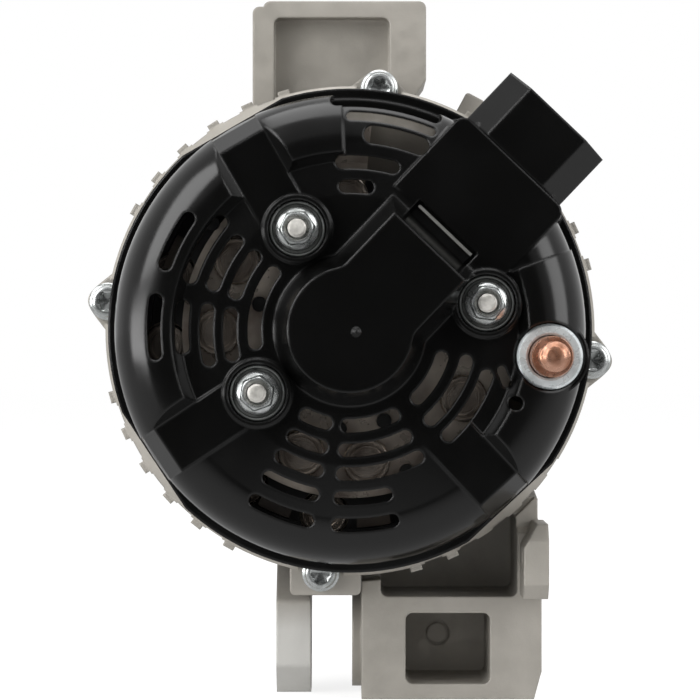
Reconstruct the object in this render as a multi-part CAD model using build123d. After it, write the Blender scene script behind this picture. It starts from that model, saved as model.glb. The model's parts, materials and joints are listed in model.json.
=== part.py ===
from build123d import *
import os
from math import asin, atan2, cos, degrees, radians, sin, sqrt

# Automotive claw-pole alternator with internal fans.
#
# The pieces are drawn with the shaft along z: z = 0 is the middle of the belt grooves, z grows towards
# the slip rings, x runs to the right and y up for someone who looks at the slip-ring end. The last step
# turns everything so that up is +Z and the pulley faces +Y. All sizes are millimetres.

# ------------------------------------------------------------------ clearances
fit_gap = 0.15          # loose static fit between two seated pieces
slide_gap = 0.15        # brush in its guide, each side
running_gap = 0.08      # ball to race, brush to slip ring
bolt_gap = 0.3          # screw or stud in a plain hole, on the radius

# ------------------------------------------------------------------ pulley, nut and spacer
pulley_width = 24.0
pulley_radius = 28.0
rib_count = 6
rib_pitch = 3.56
rib_depth = 2.9
pulley_rim = 3.2
pulley_hub_radius = 14.5
pulley_web = 6.0
hub_set_back = 6.0      # hub face behind the pulley's front edge
nut_height = 9.0
nut_across_flats = 22.0
nut_flange_height = 2.5
spacer_length = 6.0
spacer_radius = 12.5

# ------------------------------------------------------------------ bearings
front_bore = 17.0
front_outside = 47.0
front_width = 14.0
front_ball = 8.6
front_balls = 8
rear_bore = 15.0
rear_outside = 35.0
rear_width = 11.0
rear_ball = 5.8
rear_balls = 9
race_wall_share = 0.27   # race wall over the height between bore and outside

# ------------------------------------------------------------------ stator and rotor
core_radius = 64.0
yoke_depth = 4.5         # iron outside the slots
slot_depth = 9.0
tooth_lip = 1.0          # iron that closes each slot towards the bore
slot_mouth = 1.2
core_start = 52.0
core_length = 38.0
slot_count = 48
slot_width = 2.6
weld_groove_width = 4.0
weld_groove_depth = 0.8
weld_groove_count = 12
conductor_gap = 0.2
winding_overhang = 9.5
air_gap = 0.5
pole_length = 46.0
pole_disc = 12.0
claw_count = 8
claw_root_width = 20.0
claw_tip_width = 8.0
claw_root_depth = 12.0
claw_tip_depth = 4.5
core_hub_radius = 17.0
claw_gap = 4.5           # room between the coil and the claw roots
bobbin_wall = 1.4
shaft_seat_radius = 10.0
thread_radius = 7.0
fan_plate = 1.6
fan_blade_height = 7.0
fan_step = 5.0           # fan edge inside the rotor's outside
fan_blade_length = 17.0
fan_blades = 11
fan_hole_radius = 3.0
fan_hole_circle = 24.0

# ------------------------------------------------------------------ end frames
shell_wall = 3.5         # over the core
shell_ledge = 2.5        # step on which the core seats
frame_overlap = 4.0      # how far each frame reaches over the core
end_wall = 4.0
nose_start = 16.0
nose_radius = 29.0
nose_bore = 20.0
bearing_pocket_radius = 33.0
rear_wall_face = 112.0   # outer face of the rear frame's end wall
bolt_outset = 3.2        # bolt circle outside the core
bolt_thread_depth = 11.5
first_bolt_angle = 83.1
bolt_radius = 2.5
bolt_head_radius = 5.2
bolt_head_height = 4.6
bolt_seat = 100.0
bolt_ear_radius = 5.6
rib_height = 1.3
outer_rib_width = 3.3
outer_rib_step = 9.0
window_count = 12
window_inner = 35.0
window_span = 20.0       # angle of each window in the drive frame's face
window_corner = 2.0
side_vent_width = 6.2
side_vent_step = 12.5
grown_out_angles = (90.0, 250.0, 262.5, 275.0, 287.5, 300.0, 312.5)
rear_hook_angle = 61.8
rear_vent_width = 5.2
screw_circle = 28.0
screw_radius = 2.0
retainer_thickness = 2.0

# ------------------------------------------------------------------ mounting brackets of the drive frame
top_bore = 10.4
top_bore_rise = 15.0     # bore above the core's top
top_bore_station = 60.0
block_left = -27.5
block_right = 21.5
block_rise = 29.2
block_front = 42.0
block_back = 80.0
block_step = 1.5         # the left strip of the block is this much lower
block_strip = 6.0
block_pocket_right = 11.2
block_pocket_roof = 4.6
block_pocket_depth = 7.0
foot_drop = 38.2         # feet below the core's bottom
pivot_bore = 10.4
pivot_drop = 23.0
pivot_station = 71.0
pivot_boss_radius = 14.0
cast_corner = 2.0        # rounding of the castings' corners
post_left = -20.7
post_right = -11.0
post_front = 56.0
post_back = 85.5
box_left = 3.2
box_right = 53.2
box_front = 45.0
box_back = 95.0
box_floor_rise = 28.4    # floor between the upper and the lower pocket, over the feet
pocket_wall_left = 5.3
pocket_wall_right = 6.7
pocket_depth = 36.0
lower_pocket_left = 15.4
lower_pocket_right = 38.9
lower_pocket_bottom = 4.2
lower_pocket_top = 23.9
ejector_mark_radius = 3.5
lug_left = 47.2
lug_right = 54.0
lug_back = 115.0
lug_bore = 6.2
lug_bore_drop = 1.0      # lug bore above the core's bottom
lug_half_height = 10.2
lug_bore_station = 106.0
bush_wall = 2.6

# ------------------------------------------------------------------ rectifier
sink_thickness = 3.0
upper_sink_bottom = 121.0
upper_sink_thickness = 3.5
diode_radius = 6.4
diode_height = 8.0
diode_circle = 35.5
lower_sink_step = 7.0    # plate edge inside the core's outside
lower_diode_inset = 14.0
upper_diode_angles = (92.0, 148.5, 180.7, 248.4, 277.2, 329.0)
lower_diode_angles = (110.0, 163.0, 185.0, 235.0, 262.0, 306.0)
stud_radius = 2.5
stud_places = ((-14.0, 26.9), (-24.6, -16.7), (36.3, 7.1))
stud_end = 139.5
terminal_inset = 10.47   # output terminal inside the core's outside
terminal_angle = -7.57
terminal_radius = 5.5
terminal_tip_radius = 4.0
terminal_shoulder = 144.0
terminal_end = 156.0
terminal_ring_radius = 8.75
terminal_ring_height = 9.0

# ------------------------------------------------------------------ slip rings, brushes and regulator
slip_ring_radius = 8.5
slip_ring_width = 6.0
slip_ring_first = 123.0
slip_ring_pitch = 9.0
insulator_radius = 6.5
tail_radius = 4.5
tail_end = 140.5
brush_angle = 46.4       # direction from the shaft to brushes and connector
brush_width = 6.4
brush_depth = 4.8
brush_length = 12.0
holder_start = 11.0
holder_end = 27.6
holder_half_width = 7.5
holder_wall = 1.6
hood_start = 62.6        # end of the cover's box, where the plug hood comes out
hood_length = 17.1
hood_left = 16.4
hood_right = -17.6
hood_slope = 7.0         # sloped flanks between the hood's top and its sides
hood_top = 131.0
hood_bottom = 109.0
hood_wall = 2.2
hood_floor = 3.5
neck_left = 13.5
neck_right = -15.0
neck_top = 127.6
neck_gap = 0.3
blade_count = 3
blade_pitch = 7.0
fin_top = 130.0

# ------------------------------------------------------------------ rear cover
cover_face = 131.0
cover_wall = 2.3
cover_rim_outset = 2.2   # rim beyond the core's outside
cover_rim_bottom = 106.0
cover_rim_thickness = 2.0
cover_side_inset = 0.7   # side wall inside the core's outside
cover_seat_gap = 0.4     # cover over the rear frame's spigot
dome_corner = 13.0
dome_fall = 1.2          # drop of the face between the flat middle and the corner
cover_flat_radius = 36.0
raised_foot_radius = 45.1
raised_top_radius = 47.4
raised_height = 4.0
low_sector = (20.0, 92.0)  # no raised ring between these angles, around the connector box
valley_half_width = 6.75
valley_fall = 5.3        # length of the slope at a valley's outer end
valley_angles = (120.0, 213.5, 313.0)
chord_inset = 1.9        # flat at the rim in front of each valley
box_side_left = 18.0
box_side_right = -19.85
box_draft = 1.6
box_corner = 3.0
box_start = 36.0
cap_top = 145.0
cap_foot_radius = 20.8
cap_draft = 4.3
cap_end = 30.2
cap_half_width = 14.5
slot_rings = (25.5, 32.0, 38.3, 44.8, 52.0)
vent_width = 3.6
boss_radius = 9.15
boss_recess_radius = 7.7
collar_thickness = 1.0
cover_nut_flats = 8.0
cover_nut_height = 4.8

# ------------------------------------------------------------------ stations worked out from the sizes
pulley_back = pulley_width / 2
pulley_front = -pulley_width / 2
hub_front = pulley_front + hub_set_back
front_bearing_start = pulley_back + spacer_length
front_bearing_end = front_bearing_start + front_width
core_end = core_start + core_length
rotor_middle = core_start + core_length / 2
pole_start = rotor_middle - pole_length / 2
pole_end = rotor_middle + pole_length / 2
slot_bottom_radius = core_radius - yoke_depth
core_bore_radius = slot_bottom_radius - slot_depth - tooth_lip
shell_radius = core_radius + shell_wall
shell_inside = core_radius - shell_ledge
bolt_circle_radius = core_radius + bolt_outset
rotor_radius = core_bore_radius - air_gap
coil_radius = rotor_radius - claw_root_depth - claw_gap
fan_radius = rotor_radius - fan_step
rear_wall_inside = rear_wall_face - end_wall
rear_bearing_start = rear_wall_inside
rear_bearing_end = rear_bearing_start + rear_width
front_frame_end = core_start + frame_overlap
rear_frame_start = core_end - frame_overlap
top_bore_height = core_radius + top_bore_rise
block_top = core_radius + block_rise
foot_level = -core_radius - foot_drop
pivot_height = -core_radius - pivot_drop
lug_bore_height = -core_radius + lug_bore_drop
box_ledge = foot_level + box_floor_rise
lower_diode_circle = core_radius - lower_diode_inset
terminal_x = (core_radius - terminal_inset) * cos(radians(terminal_angle))
terminal_y = (core_radius - terminal_inset) * sin(radians(terminal_angle))
upper_sink_top = upper_sink_bottom + upper_sink_thickness
lower_sink_top = rear_wall_face + sink_thickness
cover_inside = cover_face - cover_wall
cover_rim_radius = core_radius + cover_rim_outset
cover_side_radius = core_radius - cover_side_inset
spigot_radius = cover_side_radius - cover_wall - cover_seat_gap
chord_distance = cover_rim_radius - chord_inset
valley_end_radius = cover_side_radius - valley_fall
hood_end = hood_start + hood_length
slip_ring_middles = [slip_ring_first + slip_ring_width / 2 + n * slip_ring_pitch for n in range(2)]
boss_floor = cover_face + 0.5
boss_top = boss_floor + 2.5
nut_seat = boss_floor + collar_thickness


# ------------------------------------------------------------------ drawing helpers
def rod(radius, z0, z1, x=0.0, y=0.0):
    return Pos(x, y, z0) * extrude(Circle(radius), z1 - z0)


def tube(outer, inner, z0, z1, x=0.0, y=0.0):
    return Pos(x, y, z0) * extrude(Circle(outer) - Circle(inner), z1 - z0)


def block(x0, x1, y0, y1, z0, z1):
    return Pos((x0 + x1) / 2, (y0 + y1) / 2, (z0 + z1) / 2) * Box(x1 - x0, y1 - y0, z1 - z0)


def turned(points, arc=360.0):
    """Solid of revolution about the shaft from (radius, station) points."""
    return revolve(Plane.XZ * make_face(Polyline(*points, close=True)), Axis.Z, arc)


def cross_rod(radius, x0, x1, y, z):
    """Round bar that lies along x."""
    return Pos(x0, y, z) * Rot(0, 90, 0) * extrude(Circle(radius), x1 - x0)


def plate_across(points, x0, x1, rounded=0.0):
    """Plate of thickness x1 - x0 whose outline is given as (station, height) points."""
    outline = make_face(Polyline(*[(x0, y, z) for z, y in points], close=True))
    if rounded:
        outline = fillet(outline.vertices(), rounded)
    return extrude(outline, x1 - x0, dir=(1, 0, 0))


def rounded_block(x0, x1, y0, y1, z0, z1, radius):
    """Block whose four upright edges, those along z, are rounded."""
    body = block(x0, x1, y0, y1, z0, z1)
    return fillet(body.edges().filter_by(Axis.Z), radius)


def polar(radius, angle):
    return radius * cos(radians(angle)), radius * sin(radians(angle))


def turn(shape, angle):
    return Rot(0, 0, angle) * shape


def around(shape, count, start=0.0):
    return [turn(shape, start + n * 360.0 / count) for n in range(count)]


def sector(inner, outer, start, end, z0, z1):
    """Part of a ring between two angles."""
    size = end - start
    ring = make_face(
        Polyline(polar(inner, start), polar(outer, start))
        + CenterArc((0, 0), outer, start, size)
        + Polyline(polar(outer, end), polar(inner, end))
        + CenterArc((0, 0), inner, start, size)
    )
    return Pos(0, 0, z0) * extrude(ring, z1 - z0)


def arc_slot(radius, width, start, end, z0, z1):
    """Cutter for a curved slot with round ends, whose ends touch the given angles."""
    cap = degrees(asin(width / 2 / radius))
    path = CenterArc((0, 0), radius, start + cap, end - start - 2 * cap)
    return Pos(0, 0, z0) * extrude(SlotArc(path, width), z1 - z0)


def brush_frame(u, v, z):
    """Place on the line from the shaft towards the brushes: u outwards, v to its left."""
    return Rot(0, 0, brush_angle) * Pos(u, v, z)


def brush_block(u0, u1, v0, v1, z0, z1):
    return turn(block(u0, u1, v0, v1, z0, z1), brush_angle)


def hexagon(across_flats, z0, z1, x=0.0, y=0.0):
    return Pos(x, y, z0) * extrude(RegularPolygon(across_flats / 2, 6, major_radius=False), z1 - z0)


def solids_of(*shapes):
    found = []
    for shape in shapes:
        found += shape.solids()
    return found


# ------------------------------------------------------------------ pulley end
def make_pulley():
    grooves = []
    for n in range(rib_count):
        middle = (n - (rib_count - 1) / 2) * rib_pitch
        half = rib_pitch / 2 - 0.35
        grooves += [
            (pulley_radius, middle - half),
            (pulley_radius - rib_depth, middle - 0.3),
            (pulley_radius - rib_depth, middle + 0.3),
            (pulley_radius, middle + half),
        ]
    rim_inside = pulley_radius - rib_depth - pulley_rim
    web_front = hub_front + 2.0
    outline = [(front_bore / 2, hub_front), (pulley_hub_radius, hub_front), (pulley_hub_radius, web_front)]
    outline += [(rim_inside, web_front), (rim_inside + 1.0, pulley_front)]
    outline += [(pulley_radius + 0.6, pulley_front)]
    outline += grooves
    outline += [(pulley_radius + 0.6, pulley_back), (rim_inside + 1.0, pulley_back)]
    outline += [(rim_inside, web_front + pulley_web), (pulley_hub_radius, web_front + pulley_web)]
    outline += [(pulley_hub_radius, pulley_back), (front_bore / 2, pulley_back)]
    return turned(outline)


def make_pulley_nut():
    flange = rod(pulley_hub_radius - 0.5, hub_front - nut_flange_height, hub_front)
    nut = flange + hexagon(nut_across_flats, hub_front - nut_height, hub_front)
    return nut - rod(thread_radius, hub_front - nut_height, hub_front)


def make_spacer():
    return tube(spacer_radius, front_bore / 2, pulley_back, front_bearing_start)


# ------------------------------------------------------------------ ball bearings
def make_bearing(bore, outside, width, ball, balls, start):
    """Outer race, inner race, cage and balls of a deep-groove bearing that starts at a station."""
    height = (outside - bore) / 2
    wall = race_wall_share * height
    pitch = (outside + bore) / 4
    end = start + width
    middle = start + width / 2
    groove_path = Pos(0, 0, middle) * Torus(pitch, ball / 2 + running_gap)
    outer = tube(outside / 2, outside / 2 - wall, start, end) - groove_path
    inner = tube(bore / 2 + wall, bore / 2, start, end) - groove_path
    ball_solid = Pos(pitch, 0, middle) * Sphere(ball / 2)
    pocket = Pos(0, 0, middle) * Rot(0, 90, 0) * extrude(Circle(ball / 2 + fit_gap), outside / 2)
    cage = tube(pitch + 0.17 * height, pitch - 0.17 * height, middle - 0.62 * ball, middle + 0.62 * ball)
    for cutter in around(pocket, balls):
        cage -= cutter
    shell = make_shield(outside / 2 - wall - fit_gap * 2, bore / 2 + wall + fit_gap * 2, start, end)
    return {
        "outer_race": outer,
        "inner_race": inner,
        "cage": cage,
        "balls": Compound(around(ball_solid, balls)),
        "shields": shell,
    }


def make_shield(outer, inner, start, end):
    """Two thin metal shields, one in each face of a bearing."""
    return Compound([tube(outer, inner, z, z + 0.5) for z in (start + 0.4, end - 0.9)])


# ------------------------------------------------------------------ rotor
def make_shaft():
    outline = [
        (0, hub_front - nut_height - 1.5),
        (thread_radius - 1, hub_front - nut_height - 1.5),
        (thread_radius, hub_front - nut_height - 0.5),
        (thread_radius, hub_front),
        (front_bore / 2, hub_front),
        (front_bore / 2, front_bearing_end),
        (shaft_seat_radius, front_bearing_end),
        (shaft_seat_radius, rear_bearing_start),
        (rear_bore / 2, rear_bearing_start),
        (rear_bore / 2, rear_bearing_end + 0.5),
        (tail_radius, rear_bearing_end + 0.5),
        (tail_radius, tail_end),
        (0, tail_end),
    ]
    key = hexagon(8.0, hub_front - nut_height - 1.5, hub_front - 4)
    return turned(outline) - key


def make_claw_pole():
    """Front pole half: a hub, a star-shaped disc and tapered claws that reach over the coil."""
    disc = rod(coil_radius + 1.5, pole_start, pole_start + pole_disc)
    hub = rod(core_hub_radius, pole_start, rotor_middle)
    root_station = pole_start + pole_disc
    tip_station = pole_end - 1.5

    def section(width, depth, station):
        low = rotor_radius - depth
        lean = 0.36 * width
        corners = [(low, -lean), (rotor_radius + 2, -width / 2), (rotor_radius + 2, width / 2), (low, lean)]
        return Plane.XY.offset(station) * make_face(Polyline(*corners, close=True))

    spoke = extrude(
        Plane.XY.offset(pole_start)
        * make_face(
            Polyline(
                (coil_radius - 4, -claw_root_width * 0.4),
                (rotor_radius + 2, -claw_root_width / 2),
                (rotor_radius + 2, claw_root_width / 2),
                (coil_radius - 4, claw_root_width * 0.4),
                close=True,
            )
        ),
        pole_disc,
    )
    claw = loft(
        [
            section(claw_root_width, claw_root_depth, root_station),
            section(claw_tip_width, claw_tip_depth, tip_station),
        ]
    )
    pole = disc + hub
    for piece in around(spoke + claw, claw_count):
        pole += piece
    rounding = turned(
        [
            (0, pole_start),
            (rotor_radius - 4, pole_start),
            (rotor_radius, pole_start + 4),
            (rotor_radius, pole_end),
            (0, pole_end),
        ]
    )
    return (pole & rounding) - rod(shaft_seat_radius, pole_start, pole_end)


def flip(shape):
    """The same piece turned end for end about the rotor's middle."""
    return Pos(0, 0, rotor_middle) * Rot(180, 0, 0) * Pos(0, 0, -rotor_middle) * shape


def make_bobbin():
    low = pole_start + pole_disc
    high = pole_end - pole_disc
    inner = core_hub_radius + fit_gap
    outline = [
        (inner, low + fit_gap),
        (coil_radius + 0.8, low + fit_gap),
        (coil_radius + 0.8, low + fit_gap + bobbin_wall),
        (inner + bobbin_wall, low + fit_gap + bobbin_wall),
        (inner + bobbin_wall, high - fit_gap - bobbin_wall),
        (coil_radius + 0.8, high - fit_gap - bobbin_wall),
        (coil_radius + 0.8, high - fit_gap),
        (inner, high - fit_gap),
    ]
    return turned(outline)


def make_field_coil():
    low = pole_start + pole_disc + fit_gap + bobbin_wall
    high = pole_end - pole_disc - fit_gap - bobbin_wall
    return tube(coil_radius, core_hub_radius + fit_gap + bobbin_wall, low, high)


def make_fan(face, side):
    """Pressed fan: a plate against the pole face, and blades that stand on it away from the poles."""
    plate_start = min(face, face + side * fan_plate)
    fan = tube(fan_radius, core_hub_radius - 1.0, plate_start, plate_start + fan_plate)
    low = min(face + side * fan_plate, face + side * (fan_plate + fan_blade_height))
    blade = Pos(fan_radius - fan_blade_length / 2 - 1, 0, low + fan_blade_height / 2) * Rot(0, 0, side * 38)
    blade = blade * Box(fan_blade_length, fan_plate, fan_blade_height)
    trim = rod(fan_radius, low, low + fan_blade_height)
    for piece in around(blade & trim, fan_blades):
        fan += piece
    hole = rod(fan_hole_radius, plate_start, plate_start + fan_plate, fan_hole_circle, 0)
    return fan - solids_of(*around(hole, claw_count))


def make_slip_rings():
    rings = []
    for middle in slip_ring_middles:
        low = middle - slip_ring_width / 2
        rings.append(tube(slip_ring_radius, insulator_radius, low, low + slip_ring_width))
    return Compound(rings)


def make_slip_insulator():
    return tube(insulator_radius, tail_radius, rear_bearing_end + 1.0, tail_end)


# ------------------------------------------------------------------ stator
def make_stator_core():
    core = tube(core_radius, core_bore_radius, core_start, core_end)
    low = core_bore_radius + tooth_lip
    slot = block(low, slot_bottom_radius, -slot_width / 2, slot_width / 2, core_start, core_end)
    mouth = block(core_bore_radius - 1, low, -slot_mouth / 2, slot_mouth / 2, core_start, core_end)
    core = core - solids_of(*around(slot + mouth, slot_count))
    half = weld_groove_width / 2
    groove = block(core_radius - weld_groove_depth, core_radius + 1, -half, half, core_start, core_end)
    return core - solids_of(*around(groove, weld_groove_count, 180.0 / weld_groove_count))


def make_winding():
    """Slot conductors with the end turns that bridge them at both ends of the core."""
    half = slot_width / 2 - conductor_gap
    low = core_bore_radius + tooth_lip + conductor_gap
    high = slot_bottom_radius - conductor_gap
    bar = block(low, high, -half, half, core_start - winding_overhang, core_end + winding_overhang)
    near = 0.45 * winding_overhang
    far = 0.8 * winding_overhang
    rear_turns = tube(high - 0.4, low + 0.4, core_end + near, core_end + far)
    front_turns = tube(high - 0.4, low + 0.4, core_start - far, core_start - near)
    return rear_turns + front_turns + solids_of(*around(bar, slot_count))


# ------------------------------------------------------------------ drive-end frame with its brackets
def bolt_angles():
    return [first_bolt_angle + 90.0 * n for n in range(4)]


def bolt_ear(z0, z1):
    """Ear that carries one through bolt, blended into the shell by two hollow curves."""
    reach = bolt_circle_radius + bolt_ear_radius
    foot = shell_radius - 2.0
    half_span = 15.5
    outline = make_face(
        Polyline(polar(foot - 4, -half_span), polar(foot, -half_span))
        + Spline(
            polar(foot, -half_span),
            (bolt_circle_radius + 0.8, -bolt_ear_radius - 1.2),
            (reach, 0),
            (bolt_circle_radius + 0.8, bolt_ear_radius + 1.2),
            polar(foot, half_span),
        )
        + Polyline(polar(foot, half_span), polar(foot - 4, half_span), polar(foot - 4, -half_span))
    )
    return Pos(0, 0, z0) * extrude(outline, z1 - z0)


def drive_shell_inside():
    """Everything that the drive frame has to leave free: the rotor space and the core's seat."""
    stator_room = core_radius + 0.9
    rear_room = shell_radius + rib_height + 0.8
    rear_room_start = rear_frame_start - 1.5
    return turned(
        [
            (0, front_bearing_end),
            (bearing_pocket_radius, front_bearing_end),
            (bearing_pocket_radius, nose_start + end_wall + 5.0),
            (shell_inside - 13.5, nose_start + end_wall + 6.5),
            (shell_inside - 5.5, nose_start + end_wall + 11.5),
            (shell_inside, core_start - 8.0),
            (shell_inside, core_start),
            (core_radius, core_start),
            (core_radius, front_frame_end),
            (stator_room, front_frame_end),
            (stator_room, rear_room_start),
            (rear_room, rear_room_start),
            (rear_room, lug_back),
            (0, lug_back),
        ]
    )


def make_top_block():
    """Block with the adjuster bore: a lower strip at the left, a cast pocket in the rear face."""
    foot = core_radius - 6.0
    strip_edge = block_left + block_strip
    body = rounded_block(strip_edge - 3, block_right, foot, block_top, block_front, block_back, cast_corner)
    strip_top = block_top - block_step
    body += rounded_block(block_left, strip_edge + 3, foot, strip_top, block_front, block_back, cast_corner)
    pocket_roof = block_top - block_pocket_roof
    body -= rounded_block(
        strip_edge,
        block_pocket_right,
        core_radius - 4.0,
        pocket_roof,
        block_back - block_pocket_depth,
        block_back + 1,
        cast_corner,
    )
    undercut = Plane.XY.offset(block_front) * make_face(
        Polyline(
            (block_right - 9, foot),
            (block_right + 1, foot),
            (block_right + 1, foot + 14.5),
            close=True,
        )
    )
    body -= extrude(undercut, block_back - block_front)
    relief = plate_across(
        [(block_front, foot), (block_front, foot + 16), (block_front + 10, foot)], block_left, block_right
    )
    return body - relief


def make_post():
    """Left pivot post: a tapered plate with a round eye and a flat foot."""
    outline = [
        (post_front - 18, -core_radius + 6),
        (post_front - 3, pivot_height + 7),
        (post_front, pivot_height - 7),
        (post_front + 8, foot_level),
        (post_back - 8, foot_level),
        (post_back, pivot_height - 7),
        (post_back, pivot_height + 11),
        (post_back - 14, -core_radius),
        (post_front, -core_radius + 6),
    ]
    lug = plate_across(outline, post_left, post_right, cast_corner)
    return lug + cross_rod(pivot_boss_radius - 1, post_left, post_right, pivot_height, pivot_station)


def make_box_bracket():
    """Box with two pockets from the rear, a boss at the pivot bore and an upright lug at the right."""
    outline = [
        (box_front - 7, -core_radius + 12),
        (box_front, -core_radius - 14),
        (box_front, foot_level + 6),
        (box_front + 6, foot_level),
        (box_back, foot_level),
        (box_back, -core_radius + 8),
        (box_front + 15, -core_radius + 14),
    ]
    body = plate_across(outline, box_left, box_right)
    wall_inside = box_right - pocket_wall_right
    body -= block(box_left, wall_inside - 1.8, -core_radius + 2, -core_radius + 24, box_front + 15, box_back)
    arm = [
        (box_front - 5, -core_radius + 20),
        (box_front - 5, -core_radius - 14),
        (box_back - 7, -core_radius - 14),
        (box_back - 7, -core_radius + 17),
        (box_front + 15, -core_radius + 20),
    ]
    body += plate_across(arm, wall_inside - 1.8, box_right - 0.7)
    corner_cut = Plane.XY.offset(box_front) * make_face(
        Polyline(
            (box_right + 1, foot_level - 1),
            (box_right - 2.4, foot_level - 1),
            (box_right - 0.5, foot_level + 6),
            (box_right + 1, foot_level + 11),
            close=True,
        )
    )
    body -= extrude(corner_cut, box_back - box_front)
    floor = box_back - pocket_depth
    upper_left = box_left + pocket_wall_left
    body -= rounded_block(
        upper_left, wall_inside, box_ledge, -core_radius + 13.0, floor, box_back + 1, cast_corner
    )
    lower_roof = foot_level + lower_pocket_top
    lower_floor = foot_level + lower_pocket_bottom
    body -= rounded_block(
        lower_pocket_left, lower_pocket_right, lower_floor, lower_roof, floor, box_back + 1, cast_corner
    )
    mark_x = (lower_pocket_left + lower_pocket_right) / 2 - 2
    mark_y = (lower_roof + lower_floor) / 2 + 1
    body -= tube(ejector_mark_radius, ejector_mark_radius - 0.5, floor - 0.4, floor, mark_x, mark_y)
    body += cross_rod(pivot_boss_radius, box_left - 2.6, box_left, pivot_height, pivot_station)
    return body + make_side_lug()


def make_side_lug():
    """Upright lug with the clip bore: square to the box, bevelled at its upper left edge."""
    low = lug_bore_height - lug_half_height
    high = lug_bore_height + lug_half_height
    outline = [
        (box_back - 7, low),
        (lug_back - 4, low),
        (lug_back, low + 4),
        (lug_back, high - 4.4),
        (lug_back - 4, high),
        (box_back - 7, high),
    ]
    lug = plate_across(outline, lug_left, lug_right)
    bevel = Plane.XY.offset(box_back - 15) * make_face(
        Polyline(
            (lug_left - 1, high + 1),
            (lug_left + 4.4, high + 1),
            (lug_left - 1, high - 8),
            close=True,
        )
    )
    return lug - extrude(bevel, lug_back - box_back + 15)


def make_drive_shell():
    """Dished end frame with its bearing nose, window ring and side vents."""
    return turned(
        [
            (nose_bore, nose_start),
            (nose_radius - 1, nose_start),
            (nose_radius, nose_start + 1),
            (nose_radius, nose_start + end_wall),
            (shell_radius - 17.5, nose_start + end_wall + 1.5),
            (shell_radius - 7.5, nose_start + end_wall + 7.5),
            (shell_radius - 2.0, nose_start + end_wall + 17.0),
            (shell_radius, core_start - 8.0),
            (shell_radius, front_frame_end),
            (nose_bore, front_frame_end),
        ]
    )


def side_vent_angles():
    """Places of the side vents, left out where the post, the brackets and the block grow out."""
    angles = []
    for n in range(29):
        angle = n * side_vent_step - 45
        near = [abs((angle - taken + 180) % 360 - 180) for taken in grown_out_angles]
        if min(near) > 14:
            angles.append(angle)
    return angles


def cut_drive_vents(frame):
    outer = shell_radius - 15.5
    window = sector(window_inner, outer, -window_span / 2, window_span / 2, nose_start, nose_start + 16)
    window = fillet(window.edges().filter_by(Axis.Z), window_corner)
    frame -= solids_of(*around(window, window_count, 180.0 / window_count))
    half = side_vent_width / 2
    vent = block(shell_radius - 15.5, shell_radius + 4.5, -half, half, core_start - 21.5, core_start - 10)
    return frame - solids_of(*[turn(vent, angle) for angle in side_vent_angles()])


def make_drive_frame():
    brackets = make_top_block() + make_post() + make_box_bracket()
    hook_start = front_frame_end - 12
    hook_end = front_frame_end + 4
    rear_hook = rounded_block(core_radius - 4, core_radius + 13, -3, 3, hook_start, hook_end, 1.0)
    rear_hook = turn(rear_hook, rear_hook_angle)
    frame = make_drive_shell() + brackets + rear_hook
    for angle in bolt_angles():
        frame += turn(bolt_ear(core_start - 10, front_frame_end), angle)
    frame -= drive_shell_inside()
    frame += tube(bearing_pocket_radius, front_outside / 2, nose_start + 6, front_bearing_end)
    frame -= rod(front_outside / 2, front_bearing_start, front_bearing_end)
    frame = cut_drive_vents(frame)
    for angle in bolt_angles():
        x, y = polar(bolt_circle_radius, angle)
        frame -= rod(bolt_radius, front_frame_end - bolt_thread_depth - 0.5, front_frame_end, x, y)
        frame -= rod(bolt_radius + 1.0, front_frame_end, rear_frame_start, x, y)
    for angle in screw_angles():
        x, y = polar(screw_circle, angle)
        frame -= rod(screw_radius, front_bearing_start + 5, front_bearing_end, x, y)
    bush_seat = pivot_bore / 2 + bush_wall
    frame -= cross_rod(top_bore / 2, block_left - 1, block_right + 1, top_bore_height, top_bore_station)
    frame -= cross_rod(bush_seat, post_left - 1, post_right + 1, pivot_height, pivot_station)
    frame -= cross_rod(pivot_bore / 2, box_left - 4, box_right + 1, pivot_height, pivot_station)
    return frame - cross_rod(lug_bore / 2, lug_left - 1, lug_right + 1, lug_bore_height, lug_bore_station)


def make_pivot_bush():
    """Slotted steel bush that slides in the post when the pivot bolt is drawn up."""
    outer = pivot_bore / 2 + bush_wall - 0.05
    bush = cross_rod(outer, post_left, post_right, pivot_height, pivot_station)
    return bush - cross_rod(pivot_bore / 2, post_left - 1, post_right + 1, pivot_height, pivot_station)


def screw_angles():
    return [45.0 + 90.0 * n for n in range(4)]


def make_retainer():
    plate = tube(bearing_pocket_radius - 1, 18.8, front_bearing_end, front_bearing_end + retainer_thickness)
    for angle in screw_angles():
        x, y = polar(screw_circle, angle)
        hole = screw_radius + bolt_gap
        plate -= rod(hole, front_bearing_end, front_bearing_end + retainer_thickness, x, y)
    return plate


def make_retainer_screws():
    seat = front_bearing_end + retainer_thickness
    screws = []
    for angle in screw_angles():
        x, y = polar(screw_circle, angle)
        shank = rod(screw_radius, front_bearing_start + 6, seat, x, y)
        head = rod(screw_radius + 1.7, seat, seat + 1.9, x, y)
        screws.append(shank + head)
    return Compound(solids_of(*screws))


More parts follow.
